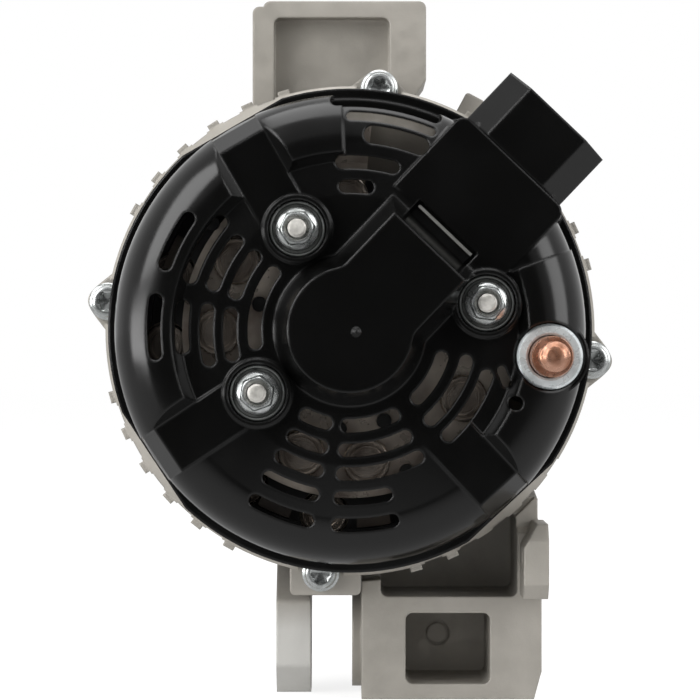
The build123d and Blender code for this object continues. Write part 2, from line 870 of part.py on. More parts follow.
# ------------------------------------------------------------------ rear end frame
def make_rear_shell():
    """Rear end frame as turned: core seat, outer wall, spigot for the cover, end wall, bearing housing."""
    housing = rear_outside / 2 + 4.0
    return turned(
        [
            (core_radius, rear_frame_start),
            (shell_radius, rear_frame_start),
            (shell_radius, bolt_seat),
            (shell_radius - 2.5, cover_rim_bottom - 2.7),
            (spigot_radius, cover_rim_bottom - 1.0),
            (spigot_radius, cover_rim_bottom + 2.0),
            (spigot_radius - 3.6, rear_wall_face),
            (housing, rear_wall_face),
            (housing, rear_bearing_end + 1.0),
            (rear_outside / 2 - 2.5, rear_bearing_end + 1.0),
            (rear_outside / 2 - 2.5, rear_bearing_end),
            (rear_outside / 2, rear_bearing_end),
            (rear_outside / 2, rear_wall_inside - 2),
            (housing, rear_wall_inside - 2),
            (housing, rear_wall_inside),
            (spigot_radius - 5.6, rear_wall_inside),
            (shell_inside, bolt_seat + 2.0),
            (shell_inside, core_end),
            (core_radius, core_end),
        ]
    )


def make_rear_frame():
    frame = make_rear_shell()
    half_rib = outer_rib_width / 2
    rib = block(
        shell_radius - 1.5, shell_radius + rib_height, -half_rib, half_rib, rear_frame_start, bolt_seat
    )
    rib_places = [first_bolt_angle + 22.5 + 90 * q + outer_rib_step * n for q in range(4) for n in range(6)]
    for angle in rib_places:
        if not 299 < angle % 360 < 332:
            frame += turn(rib, angle)
    inside = rod(shell_inside, core_end - 1, bolt_seat + 2.0) + rod(core_radius, rear_frame_start, core_end)
    for angle in bolt_angles():
        frame += turn(bolt_ear(rear_frame_start, bolt_seat), angle) - inside
    lower_lug = rounded_block(
        -16.6, 3.0, -core_radius - 9, -core_radius + 4, rear_frame_start, bolt_seat, 1.5
    )
    frame += lower_lug - inside
    for x, y in stud_places:
        frame += rod(6.0, rear_wall_inside - 4, rear_wall_face, x, y)
    outer = lower_diode_circle - diode_radius
    window = sector(26.0, outer, -11, 11, rear_wall_inside - 1, rear_wall_face + 1)
    window = fillet(window.edges().filter_by(Axis.Z), window_corner)
    frame -= solids_of(*[turn(window, angle) for angle in (62, 88, 150, 182, 246, 272, 298, 330)])
    half = rear_vent_width / 2
    side = block(core_radius - 7, shell_radius + 4.5, -half, half, core_end + 1.2, bolt_seat + 0.5)
    side_places = [first_bolt_angle + 27 + 90 * q + outer_rib_step * n for q in range(4) for n in range(5)]
    frame -= solids_of(*[turn(side, angle) for angle in side_places])
    for angle in bolt_angles():
        x, y = polar(bolt_circle_radius, angle)
        frame -= rod(bolt_radius + bolt_gap, rear_frame_start - 1, bolt_seat + 10, x, y)
        frame -= rod(bolt_head_radius + 1.0, bolt_seat, bolt_seat + 10, x, y)
    for x, y in stud_places:
        frame -= rod(stud_radius, rear_wall_inside - 3, rear_wall_face, x, y)
    return frame


def make_through_bolts():
    bolts = []
    for angle in bolt_angles():
        x, y = polar(bolt_circle_radius, angle)
        head = rod(bolt_head_radius, bolt_seat, bolt_seat + 1.4, x, y)
        head += rod(bolt_head_radius - 0.8, bolt_seat + 1.4, bolt_seat + bolt_head_height, x, y)
        head -= hexagon(5.6, bolt_seat + 1.6, bolt_seat + bolt_head_height, x, y)
        bolts.append(head + rod(bolt_radius, front_frame_end - bolt_thread_depth, bolt_seat, x, y))
    return Compound(solids_of(*bolts))


# ------------------------------------------------------------------ rectifier
def make_lower_sink():
    outer = core_radius - lower_sink_step
    plate = sector(24.0, outer, 84, 337, rear_wall_face, lower_sink_top)
    for angle in lower_diode_angles:
        x, y = polar(lower_diode_circle, angle)
        plate -= rod(diode_radius, rear_wall_face, lower_sink_top, x, y)
    for x, y in stud_places[:2]:
        plate -= rod(stud_radius + bolt_gap, rear_wall_face, lower_sink_top, x, y)
    for angle in (92, 124, 156, 247, 277):
        plate -= arc_slot(33.0, 4.0, angle - 9, angle + 9, rear_wall_face, lower_sink_top)
    return plate


def make_upper_sink():
    z0 = upper_sink_bottom
    z1 = upper_sink_top
    plate = sector(22.5, diode_circle + 9.5, 84, 350, z0, z1)
    span = core_radius - terminal_inset - 24.0
    arm = Pos(24.0 + span / 2, 0, z0) * extrude(Rectangle(span, 13), z1 - z0)
    plate += turn(arm, terminal_angle)
    plate += rod(terminal_ring_radius - 0.6, z0, z1, terminal_x, terminal_y)
    plate -= rod(terminal_radius - 1.5, z0, z1, terminal_x, terminal_y)
    for angle in upper_diode_angles:
        x, y = polar(diode_circle, angle)
        plate -= rod(diode_radius, z0, z1, x, y)
    for x, y in stud_places:
        plate -= rod(stud_radius + bolt_gap + 2.2, z0, z1, x, y)
    for x, y in post_places():
        plate -= rod(1.9 + fit_gap, z0, z1, x, y)
    return plate


def diode(x, y, z0):
    """Press-fit diode: knurled cup with a stepped rim and a short wire."""
    cup = rod(diode_radius, z0, z0 + diode_height, x, y)
    cup -= tube(diode_radius - 0.9, diode_radius - 2.0, z0 + diode_height - 1.6, z0 + diode_height, x, y)
    return cup + rod(0.8, z0 - 2.0, z0, x, y)


def make_upper_diodes():
    base = upper_sink_top - diode_height + 2.2
    return Compound(solids_of(*[diode(*polar(diode_circle, a), base) for a in upper_diode_angles]))


def make_lower_diodes():
    made = []
    for angle in lower_diode_angles:
        x, y = polar(lower_diode_circle, angle)
        cup = rod(diode_radius, rear_wall_face, rear_wall_face + 6.0, x, y)
        made.append(cup + rod(0.8, rear_wall_face + 6.0, upper_sink_bottom - 1.5, x, y))
    return Compound(solids_of(*made))


def post_places():
    """Moulded posts of the terminal block that stand up through the upper heat sink."""
    return [(-36.9, 28.7), (-24.3, 7.0), (-2.9, -26.4), (9.1, -24.3), (15.2, -37.9)]


def make_terminal_block():
    """Moulded ring between the heat sinks, with a channel for the phase leads and its upright posts."""
    z0 = lower_sink_top + fit_gap
    z1 = upper_sink_bottom - fit_gap
    outer = core_radius - lower_sink_step - 1.0
    inner = lower_diode_circle - 8.0
    body = sector(inner, outer, 100, 316, z0, z1)
    body -= sector(inner + 5.5, outer - 2.5, 112, 300, z0 + 2.0, z1)
    for angle in lower_diode_angles:
        x, y = polar(lower_diode_circle, angle)
        body -= rod(diode_radius + 0.4, z0, z1, x, y)
    for x, y in post_places():
        radius = sqrt(x * x + y * y)
        body += rod(3.2, z0, z1, x, y) + rod(1.9, z0, upper_sink_top + 1.5, x, y)
        if radius < inner:
            body += turn(block(radius, inner + 1, -1.6, 1.6, z0, z0 + 2.0), degrees(atan2(y, x)))
    for angle in upper_diode_angles:
        x, y = polar(diode_circle, angle)
        body -= rod(diode_radius + 0.4, z0, z1, x, y)
    return body


def make_terminals():
    """Copper straps that join each phase lead to its diodes."""
    inner = lower_diode_circle - 2.2
    z0 = upper_sink_bottom - 2.8
    angles = (124.0, 156.0, 247.0, 277.0)
    return Compound(solids_of(*[sector(inner, inner + 5.4, a - 5, a + 5, z0, z0 + 1.2) for a in angles]))


def make_stud_insulators():
    sleeves = []
    for x, y in stud_places:
        sleeve = rod(7.0, lower_sink_top, upper_sink_bottom, x, y)
        sleeve += rod(stud_radius + bolt_gap + 2.0, upper_sink_bottom, upper_sink_top, x, y)
        sleeves.append(sleeve - rod(stud_radius + bolt_gap, lower_sink_top, upper_sink_top, x, y))
    return Compound(solids_of(*sleeves))


def make_studs():
    return Compound(
        solids_of(*[rod(stud_radius, rear_wall_inside - 3, stud_end, x, y) for x, y in stud_places])
    )


def make_terminal_stud():
    """Battery terminal: flange under the heat sink, thick root, and the turned-down threaded end."""
    x = terminal_x
    y = terminal_y
    stud = rod(terminal_radius - 1.5, upper_sink_bottom - 3.0, upper_sink_top, x, y)
    stud += rod(terminal_radius + 1.0, upper_sink_bottom - 3.0, upper_sink_bottom, x, y)
    stud += rod(terminal_radius, upper_sink_top, terminal_shoulder, x, y)
    stud += rod(terminal_tip_radius, terminal_shoulder, terminal_end, x, y)
    return chamfer(stud.edges().sort_by(Axis.Z)[-1], 0.8)


def make_terminal_ring():
    top = upper_sink_top + terminal_ring_height
    ring = tube(terminal_ring_radius, terminal_radius + 0.25, upper_sink_top, top, terminal_x, terminal_y)
    return chamfer(ring.edges().group_by(Axis.Z)[-1], 0.6)


# ------------------------------------------------------------------ brushes and regulator
def make_brush(index):
    """Carbon brush whose tip follows the ring."""
    middle = slip_ring_middles[index]
    bar = block(
        slip_ring_radius - 2,
        slip_ring_radius + brush_length,
        -brush_width / 2,
        brush_width / 2,
        middle - brush_depth / 2,
        middle + brush_depth / 2,
    )
    bar -= rod(slip_ring_radius + running_gap, middle - 5, middle + 5)
    return turn(bar, brush_angle)


def make_brush_springs():
    """Two coil springs, each in the guide behind its brush."""
    coils = []
    start = slip_ring_radius + brush_length + 0.2
    stop = holder_end - holder_wall - 0.1
    turns = 4
    for middle in slip_ring_middles:
        path = Helix(pitch=(stop - start - 0.8) / turns, height=stop - start - 0.8, radius=1.75)
        wire = sweep(Plane(path @ 0, z_dir=path % 0) * RegularPolygon(0.34, 6), path=path, is_frenet=True)
        coils.append(brush_frame(start + 0.4, 0, middle) * Rot(0, 90, 0) * wire)
    return Compound(solids_of(*coils))


def make_brush_holder():
    low = slip_ring_first - 2.0
    high = slip_ring_middles[1] + slip_ring_width / 2 + 1.4
    body = brush_block(holder_start, holder_end, -holder_half_width, holder_half_width, low, high)
    for middle in slip_ring_middles:
        body -= brush_block(
            holder_start - 1,
            holder_end - holder_wall,
            -brush_width / 2 - slide_gap,
            brush_width / 2 + slide_gap,
            middle - brush_depth / 2 - slide_gap,
            middle + brush_depth / 2 + slide_gap,
        )
    foot = brush_block(holder_end - 5, holder_end + 4, -9.0, 9.0, rear_wall_face + 1, low)
    return body + foot


def hood_profile(u, inset):
    """Eight-sided section of the plug hood at the distance u along the brush direction."""
    left = hood_left - inset
    right = hood_right + inset
    top = hood_top - inset
    bottom = hood_bottom + inset
    flank = hood_slope - 0.4 * inset
    corners = [
        (left - flank, top),
        (left, top - flank),
        (left, bottom + flank / 2),
        (left - flank / 2, bottom),
        (right + flank / 2, bottom),
        (right, bottom + flank / 2),
        (right, top - flank),
        (right + flank, top),
    ]
    return make_face(Polyline(*[(u, v, z) for v, z in corners], close=True))


def make_regulator():
    """Regulator housing: a flat body on the frame, a neck inside the cover's box, and the plug hood."""
    body = brush_block(holder_end + 4, hood_start - 16, -13.0, neck_left, rear_wall_face, 126.5)
    body -= rod(boss_radius + 1.5, rear_wall_face, cover_inside, *stud_places[2])
    neck = brush_block(
        hood_start - 17, hood_start + 1, neck_right, neck_left, rear_wall_face + fit_gap, neck_top
    )
    hood = turn(extrude(hood_profile(hood_start + fit_gap, 0.0), hood_length, dir=(1, 0, 0)), brush_angle)
    mouth = extrude(hood_profile(hood_start + hood_floor, hood_wall), hood_length, dir=(1, 0, 0))
    return body + neck + hood - turn(mouth, brush_angle)


def make_regulator_fin():
    """Aluminium heat sink of the regulator: a thin plate with an upright fin behind the cover's slot."""
    base = brush_block(holder_end + 5, 40.0, -9.6, 9.6, 126.5, 127.3)
    return base + brush_block(36.3, 37.1, -9.6, 9.6, 127.3, fin_top)


def make_connector_pins():
    """Flat blades that stand out of the hood's floor."""
    middle_v = (hood_left + hood_right) / 2
    middle_z = (hood_top + hood_bottom) / 2
    start = hood_start + hood_floor
    pins = []
    for n in range(blade_count):
        v = middle_v + (n - (blade_count - 1) / 2) * blade_pitch
        pins.append(brush_block(start, hood_end - 4, v - 1.4, v + 1.4, middle_z - 0.4, middle_z + 0.4))
    return Compound(solids_of(*pins))


# ------------------------------------------------------------------ rear cover
def cover_profile(inset, start, inner_top, crown, fall):
    """Half section of the cover from a radius outwards: face, rounded corner and side wall."""
    foot = cover_rim_bottom
    edge = cover_side_radius - inset
    corner = dome_corner - inset
    corner_top = crown - fall
    return make_face(
        Polyline((start, foot), (start, cover_face - inset), (inner_top, crown), (edge - corner, corner_top))
        + CenterArc((edge - corner, corner_top - corner), corner, 0, 90)
        + Polyline((edge, corner_top - corner), (edge, foot), (start, foot))
    )


def cover_dome(inset):
    """Outer form of the cover, or the form inset by the wall: low dome, raised ring, three flat valleys."""
    top = cover_face - inset
    foot = cover_rim_bottom
    edge = cover_side_radius - inset
    crown = top + raised_height
    dome = revolve(Plane.XZ * cover_profile(inset, 0.0, cover_flat_radius, top, dome_fall), Axis.Z)
    shift = 0.6 * inset
    raised = cover_profile(inset, raised_foot_radius + shift, raised_top_radius + shift, crown, 0.0)
    ring = revolve(Plane.XZ * raised, Axis.Z)
    ring -= sector(20.0, 80.0, valley_angles[1], valley_angles[2], foot - 1, crown + 1)
    step = degrees(inset / raised_foot_radius)
    ring -= sector(20.0, 80.0, low_sector[0] - step, low_sector[1] + step, foot - 1, crown + 1)
    half = valley_half_width
    widen = half + 2.6
    for angle in valley_angles:
        gap_foot = Plane.XY.offset(top) * Pos(52, 0) * Rectangle(60, 2 * half)
        gap_top = Plane.XY.offset(crown + 0.01) * Pos(52, 0) * Rectangle(60, 2 * widen)
        ring -= turn(loft([gap_foot, gap_top]), angle)
        ring -= turn(block(20, 80, -half, half, foot - 1, top), angle)
    body = dome + ring
    arm_outline = [
        (20.0, foot),
        (20.0, top),
        (valley_end_radius - inset, top),
        (edge - 1.0, top - 8),
        (edge + 0.35, top - 20),
        (edge + 0.35, foot),
    ]
    for angle in valley_angles:
        arm = make_face(Polyline(*[(r, -half + inset, z) for r, z in arm_outline], close=True))
        body += turn(extrude(arm, 2 * (half - inset), dir=(0, 1, 0)), angle)
    return body + cover_box(inset)


def cover_box(inset):
    """Square box over the regulator's neck: its top is level with the cover's flat middle."""
    def section(grow, z):
        left = box_side_left + grow - inset
        right = box_side_right - grow + inset
        end = hood_start - inset
        shape = Pos((box_start + end) / 2, (left + right) / 2) * Rectangle(end - box_start, left - right)
        corners = shape.vertices().sort_by(Axis.X)[-2:]
        return Plane.XY.offset(z) * Rot(0, 0, brush_angle) * fillet(corners, box_corner - inset / 2)

    return loft([section(box_draft, cover_rim_bottom), section(0.0, cover_face - inset)])


def cap_form(inset):
    """Raised cap over the slip rings: a round end that runs out into a square end over the brushes."""
    height = cap_top - inset - cover_inside
    grow = cap_draft - inset
    round_end = Circle(cap_foot_radius - inset)
    arm = Pos(cap_end / 2 + grow / 2, 0) * Rectangle(cap_end + grow, 2 * (cap_half_width + grow * 0.6))
    foot = Plane.XY.offset(cover_inside) * Rot(0, 0, brush_angle) * (round_end + arm)
    return extrude(foot, height, taper=degrees(asin(cap_draft / sqrt(cap_draft ** 2 + height ** 2))))


def vent_slots():
    """(ring number, start angle, end angle) of each curved slot in the cover."""
    slots = [(0, 139.5, 191.5)]
    slots += [(1, 139.5, 165.0), (1, 169.5, 195.0)]
    slots += [(2, 139.5, 164.0), (2, 169.5, 194.5)]
    slots += [(3, 138.0, 163.8), (3, 169.8, 188.0)]
    slots += [(4, 143.5, 162.3), (4, 169.3, 188.8)]
    slots += [(n, 239.0, 259.3) for n in range(5)]
    slots += [(n, 264.5, 300.5) for n in range(3)] + [(n, 264.5, 284.5) for n in (3, 4)]
    slots += [(0, 311.0, 347.0), (1, 309.0, 348.0), (2, 310.5, 344.0)]
    slots += [(2, 80.5, 94.5), (3, 73.0, 95.0)]
    return slots


def cover_openings():
    """Cutters for the vents, the regulator slot, the plug neck and the flats in front of the valleys."""
    low = cover_inside - 8
    high = cover_face + raised_height + 2
    cutters = [arc_slot(slot_rings[n], vent_width, a, b, low, high) for n, a, b in vent_slots()]
    outer_ring = slot_rings[4]
    cutters.append(arc_slot(outer_ring + 0.5, 5.0, 66.5, 86.0, low, high))
    cutters.append(arc_slot(outer_ring + 5.2, 2.4, 66.5, 91.0, low, high))
    cutters.append(arc_slot(cover_side_radius - 1.7, 3.6, 66.5, 95.0, cover_rim_bottom + 2.5, high))
    cutters.append(brush_block(33.6, 37.9, -10.5, 10.5, cover_inside - 1, high))
    cutters.append(
        brush_block(
            hood_start - cover_wall - 3,
            hood_start + 3,
            neck_right - neck_gap,
            neck_left + neck_gap,
            cover_rim_bottom + cover_rim_thickness,
            neck_top + neck_gap,
        )
    )
    drain = Pos(41.0, -12.4, low) * Rot(0, 0, -68) * extrude(SlotOverall(6.0, 2.4), high - low)
    cutters.append(drain)
    cutters.append(rod(1.9, low, high, 43.9, -19.4))
    for angle in valley_angles:
        flat = block(chord_distance, chord_distance + 15, -30, 30, cover_rim_bottom - 1, high)
        cutters.append(turn(flat, angle))
    return cutters


def make_cover():
    """Moulded rear cover: vented dome with raised ring, cap, connector box, nut bosses and rim."""
    cover = cover_dome(0.0) - cover_dome(cover_wall)
    rim_inside = cover_side_radius - cover_wall
    cover += tube(cover_rim_radius, rim_inside, cover_rim_bottom, cover_rim_bottom + cover_rim_thickness)
    cover += cap_form(0.0)
    x = terminal_x
    y = terminal_y
    boss = rod(terminal_ring_radius + 1.9, rear_wall_face + 0.3, cover_face - 1.0, x, y)
    boss &= rod(cover_side_radius + 1.3, cover_rim_bottom, cover_face)
    cover += boss - block(x - 14, x, y - 8, y + 8, cover_rim_bottom, upper_sink_top + 1.0)
    for sx, sy in stud_places:
        cover += rod(boss_radius, cover_inside, boss_top, sx, sy)
        cover += rod(stud_radius + bolt_gap + 2.4, upper_sink_top + fit_gap, cover_inside, sx, sy)
    cover -= cap_form(cover_wall)
    for sx, sy in stud_places:
        cover -= rod(boss_recess_radius, boss_floor, boss_top + 20, sx, sy)
        cover -= rod(stud_radius + bolt_gap, upper_sink_top, boss_top, sx, sy)
    cover -= rod(terminal_ring_radius + 0.35, cover_rim_bottom, cover_face + 8, x, y)
    for cutter in cover_openings():
        cover -= cutter
    return cover


def make_collars():
    outer = boss_recess_radius - 0.1
    inner = stud_radius + bolt_gap
    return Compound([tube(outer, inner, boss_floor, nut_seat, x, y) for x, y in stud_places])


def make_cover_nuts():
    nuts = []
    for x, y in stud_places:
        nut = rod(5.7, nut_seat, nut_seat + 1.0, x, y)
        nut += hexagon(cover_nut_flats, nut_seat + 1.0, nut_seat + cover_nut_height, x, y)
        nuts.append(nut - rod(stud_radius, nut_seat, nut_seat + cover_nut_height, x, y))
    return Compound(solids_of(*nuts))


# ------------------------------------------------------------------ assembly
def build_nodes():
    front = make_bearing(
        front_bore, front_outside, front_width, front_ball, front_balls, front_bearing_start
    )
    rear = make_bearing(rear_bore, rear_outside, rear_width, rear_ball, rear_balls, rear_bearing_start)
    front_pole = make_claw_pole()
    nodes = {
        "pulley": make_pulley(),
        "pulley_nut": make_pulley_nut(),
        "front_spacer": make_spacer(),
        "rotor_shaft": make_shaft(),
        "front_claw_pole": front_pole,
        "rear_claw_pole": turn(flip(front_pole), 180.0 / claw_count),
        "coil_bobbin": make_bobbin(),
        "field_coil": make_field_coil(),
        "front_fan": make_fan(pole_start, -1),
        "rear_fan": make_fan(pole_end, 1),
        "slip_rings": make_slip_rings(),
        "slip_ring_insulator": make_slip_insulator(),
        "stator_core": make_stator_core(),
        "stator_winding": make_winding(),
        "drive_end_frame": make_drive_frame(),
        "pivot_bush": make_pivot_bush(),
        "bearing_retainer": make_retainer(),
        "retainer_screws": make_retainer_screws(),
        "rear_end_frame": make_rear_frame(),
        "through_bolts": make_through_bolts(),
        "negative_heat_sink": make_lower_sink(),
        "positive_heat_sink": make_upper_sink(),
        "positive_diodes": make_upper_diodes(),
        "negative_diodes": make_lower_diodes(),
        "terminal_block": make_terminal_block(),
        "phase_terminals": make_terminals(),
        "stud_insulators": make_stud_insulators(),
        "cover_studs": make_studs(),
        "output_stud": make_terminal_stud(),
        "output_ring": make_terminal_ring(),
        "brush_1": make_brush(0),
        "brush_2": make_brush(1),
        "brush_springs": make_brush_springs(),
        "brush_holder": make_brush_holder(),
        "voltage_regulator": make_regulator(),
        "regulator_heat_sink": make_regulator_fin(),
        "connector_pins": make_connector_pins(),
        "rear_cover": make_cover(),
        "cover_collars": make_collars(),
        "cover_nuts": make_cover_nuts(),
    }
    for piece, shape in front.items():
        nodes["front_bearing_" + piece] = shape
    for piece, shape in rear.items():
        nodes["rear_bearing_" + piece] = shape
    return nodes


def write_parts():
    os.makedirs("parts", exist_ok=True)
    for name, shape in build_nodes().items():
        stood_up = Rot(90, 0, 0) * shape
        export_step(Compound(stood_up.solids()), "parts/" + name + ".step")


write_parts()
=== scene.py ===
import json
import math

import bmesh
import bpy
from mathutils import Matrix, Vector


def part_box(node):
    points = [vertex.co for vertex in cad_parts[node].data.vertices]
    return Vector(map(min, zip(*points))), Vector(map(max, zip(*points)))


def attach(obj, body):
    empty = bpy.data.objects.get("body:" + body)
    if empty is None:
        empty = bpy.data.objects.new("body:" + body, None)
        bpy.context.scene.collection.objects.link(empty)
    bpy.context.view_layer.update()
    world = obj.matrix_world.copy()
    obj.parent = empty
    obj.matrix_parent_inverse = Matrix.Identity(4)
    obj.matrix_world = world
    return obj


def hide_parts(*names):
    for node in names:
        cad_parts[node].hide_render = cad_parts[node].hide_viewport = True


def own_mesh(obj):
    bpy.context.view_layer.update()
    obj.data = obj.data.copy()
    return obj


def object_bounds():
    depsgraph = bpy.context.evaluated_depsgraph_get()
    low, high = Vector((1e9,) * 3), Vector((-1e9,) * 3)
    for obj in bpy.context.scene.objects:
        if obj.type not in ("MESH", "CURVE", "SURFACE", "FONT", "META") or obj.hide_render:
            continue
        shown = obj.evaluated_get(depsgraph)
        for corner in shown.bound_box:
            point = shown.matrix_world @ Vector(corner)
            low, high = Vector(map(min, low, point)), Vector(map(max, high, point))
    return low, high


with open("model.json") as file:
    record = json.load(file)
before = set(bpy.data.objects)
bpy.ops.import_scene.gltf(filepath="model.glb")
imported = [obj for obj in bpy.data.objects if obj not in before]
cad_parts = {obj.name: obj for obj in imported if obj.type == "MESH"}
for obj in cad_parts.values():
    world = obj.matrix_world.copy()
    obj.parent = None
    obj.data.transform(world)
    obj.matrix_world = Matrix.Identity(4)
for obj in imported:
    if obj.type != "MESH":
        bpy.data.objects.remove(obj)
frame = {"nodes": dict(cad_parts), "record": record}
cad_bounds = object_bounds()

MM = 0.001
NODES = frame["nodes"]

# ------------------------------------------------------- viewpoint of the photograph, metres
FLOOR_HEIGHT = cad_bounds[0][2]
FLOOR_RADIUS = 6.0
CAMERA_PLACE = (0.0, -0.950, -0.0053)
CAMERA_LENS = 158.4
CAMERA_REACH = 50.0
SENSOR = 36.0

# ------------------------------------------------------- light levels
LAMP_LEVEL = 0.55
LAMP_GLOSS = 0.04
LAMP_AIM = (0.0, -0.05, 0.0)
# name, place and size in metres, watts
LAMPS = (
    ("key_left", (-0.75, -0.75, 0.55), (0.7, 0.7), 6.5),
    ("fill_right", (0.85, -0.6, 0.35), (0.6, 0.8), 4.5),
    ("top", (0.0, -0.1, 1.1), (0.9, 0.9), 6.0),
    ("low_left", (-0.7, -0.5, -0.02), (0.5, 0.2), 2.0),
)
# brightness that gloss reflects, from behind the photo's viewpoint (0) round to the far side (1)
DARK_SIDE = ((0.0, 0.01), (0.015, 0.03), (0.04, 0.25), (0.15, 0.34), (0.5, 0.6), (1.0, 0.95))
FLOOR_COLOUR = (0.82, 0.82, 0.82, 1)
FLOOR_GLOW = 1.36
FLOOR_GLOW_SHARE = 0.6
# in gloss the floor fades to dark where it runs out in front of the object: from y to brightness
FLOOR_FADE = (-0.55, -0.18)
FLOOR_FADE_LEVELS = (0.02, 0.55)

# ------------------------------------------------------- places that materials need, metres
NOISE_SPAN = (0.35, 0.65)
FALLING = (1.0, 0.0)
# painted highlight on the post: spans of x and z where the casting is painted pale to stand in for
# light
POST_HIGHLIGHT_SIDE = (-10.0 * MM, -9.5 * MM)
POST_HIGHLIGHT_ROOT = (-84.0 * MM, -74.0 * MM)
# painted shade on the wall under the cover: distance from the shaft and span along it where the
# casting is painted dark
SHADED_WALL_RIM = (63.5 * MM, 64.5 * MM)
SHADED_WALL_FACE = (-107.5 * MM, -106.5 * MM)
# painted highlight on the fin plate: where its pale band along the upper edge ends, and how far it
# blends
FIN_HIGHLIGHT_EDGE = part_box("regulator_heat_sink")[0][1] + 0.5 * MM
FIN_HIGHLIGHT_BLEND = 0.2 * MM


# ------------------------------------------------------- node helpers
class Graph:
    """A node tree, with short calls to add nodes and to join them."""

    def __init__(self, owner):
        owner.use_nodes = True
        self.nodes = owner.node_tree.nodes
        self.links = owner.node_tree.links

    def add(self, kind, **inputs):
        """Add a shader node and set its inputs; _ stands for a space in an input's name."""
        node = self.nodes.new("ShaderNode" + kind)
        for name, value in inputs.items():
            node.inputs[name.replace("_", " ")].default_value = value
        return node

    def link(self, output, node, socket):
        self.links.new(output, node.inputs[socket])

    def map_range(self, value, old, new=(0.0, 1.0)):
        """Map a value from one span to another, held at both ends."""
        node = self.add("MapRange", From_Min=old[0], From_Max=old[1], To_Min=new[0], To_Max=new[1])
        self.link(value, node, "Value")
        return node.outputs["Result"]

    def product(self, one, other):
        node = self.add("Math")
        node.operation = "MULTIPLY"
        self.link(one, node, 0)
        self.link(other, node, 1)
        return node.outputs["Value"]

    def coords(self, kind="Object"):
        return self.add("TexCoord").outputs[kind]

    def split(self, vector):
        node = self.add("SeparateXYZ")
        self.link(vector, node, "Vector")
        return node.outputs

    def mix_shaders(self, factor, low, high):
        node = self.add("MixShader")
        self.link(factor, node, "Fac")
        self.link(low, node, 1)
        self.link(high, node, 2)
        return node.outputs["Shader"]


class Shader(Graph):
    """A Principled material, with short calls for its colour, roughness and relief."""

    def __init__(self, name, colour, metallic=0.0, roughness=0.5):
        self.material = bpy.data.materials.new(name)
        super().__init__(self.material)
        self.bsdf = self.nodes["Principled BSDF"]
        self.bsdf.inputs["Base Color"].default_value = (*colour, 1.0)
        self.bsdf.inputs["Metallic"].default_value = metallic
        self.bsdf.inputs["Roughness"].default_value = roughness
        self.normal = None

    def noise(self, scale, detail=4.0, rough=0.5, stretch=(1, 1, 1)):
        mapping = self.add("Mapping", Scale=stretch)
        self.link(self.coords(), mapping, "Vector")
        node = self.add("TexNoise", Scale=scale, Detail=detail, Roughness=rough)
        self.link(mapping.outputs["Vector"], node, "Vector")
        return node.outputs["Fac"]

    def roughness_from(self, value, low, high):
        self.link(self.map_range(value, NOISE_SPAN, (low, high)), self.bsdf, "Roughness")

    def paint(self, mask, colour, below):
        """Colour the surface where the mask is 1; below is a plain colour or an earlier paint."""
        mix = self.add("Mix")
        mix.data_type = "RGBA"
        mix.inputs["B"].default_value = (*colour, 1.0)
        if isinstance(below, tuple):
            mix.inputs["A"].default_value = (*below, 1.0)
        else:
            self.link(below, mix, "A")
        self.link(mask, mix, "Factor")
        self.link(mix.outputs["Result"], self.bsdf, "Base Color")
        return mix.outputs["Result"]

    def colour_from(self, value, dark, light, span=NOISE_SPAN):
        return self.paint(self.map_range(value, span), light, dark)

    def set_normal(self, node):
        if self.normal:
            self.link(self.normal, node, "Normal")
        self.normal = node.outputs["Normal"]
        self.link(self.normal, self.bsdf, "Normal")

    def rounded(self, radius):
        """Let every sharp edge catch the light as a moulded or worn edge of this radius does."""
        node = self.add("Bevel", Radius=radius)
        node.samples = 6
        self.set_normal(node)

    def bump(self, value, strength, distance):
        node = self.add("Bump", Strength=strength, Distance=distance)
        self.link(value, node, "Height")
        self.set_normal(node)


# ------------------------------------------------------- materials
def surface(name, colour, metallic=0.0, roughness=0.5, edge=0.0, tint=None, gloss=None, grain=()):
    """A material whose colour, roughness and relief each vary with noises of their own.

    edge is the radius in mm that sharp edges seem to have, tint is (scale, detail, dark, light),
    gloss is (scale, detail, low, high) of the roughness, and grain has (scale, detail, strength,
    distance) for each bump.
    """
    s = Shader(name, colour, metallic, roughness)
    if edge:
        s.rounded(edge * MM)
    if tint:
        scale, detail, dark, light = tint
        s.colour_from(s.noise(scale, detail), dark, light)
    if gloss:
        scale, detail, low, high = gloss
        s.roughness_from(s.noise(scale, detail), low, high)
    for scale, detail, strength, distance in grain:
        s.bump(s.noise(scale, detail), strength, distance)
    return s.material


def matte(name, colour, rough):
    dark = tuple(0.8 * c for c in colour)
    light = tuple(min(1.0, 1.2 * c) for c in colour)
    return surface(
        name, colour, roughness=rough, tint=(90, 4, dark, light),
        gloss=(200, 3, rough - 0.1, rough + 0.1), grain=((1100, 3, 0.1, 0.0001),),
    )


def bare_metal(name, colour, rough):
    """Machined metal, its grain drawn out along the surface."""
    s = Shader(name, colour, metallic=1.0, roughness=rough)
    s.roughness_from(s.noise(300, 4, stretch=(1, 12, 1)), rough - 0.08, rough + 0.1)
    s.bump(s.noise(900, 3, stretch=(1, 14, 1)), 0.06, 0.0001)
    return s.material


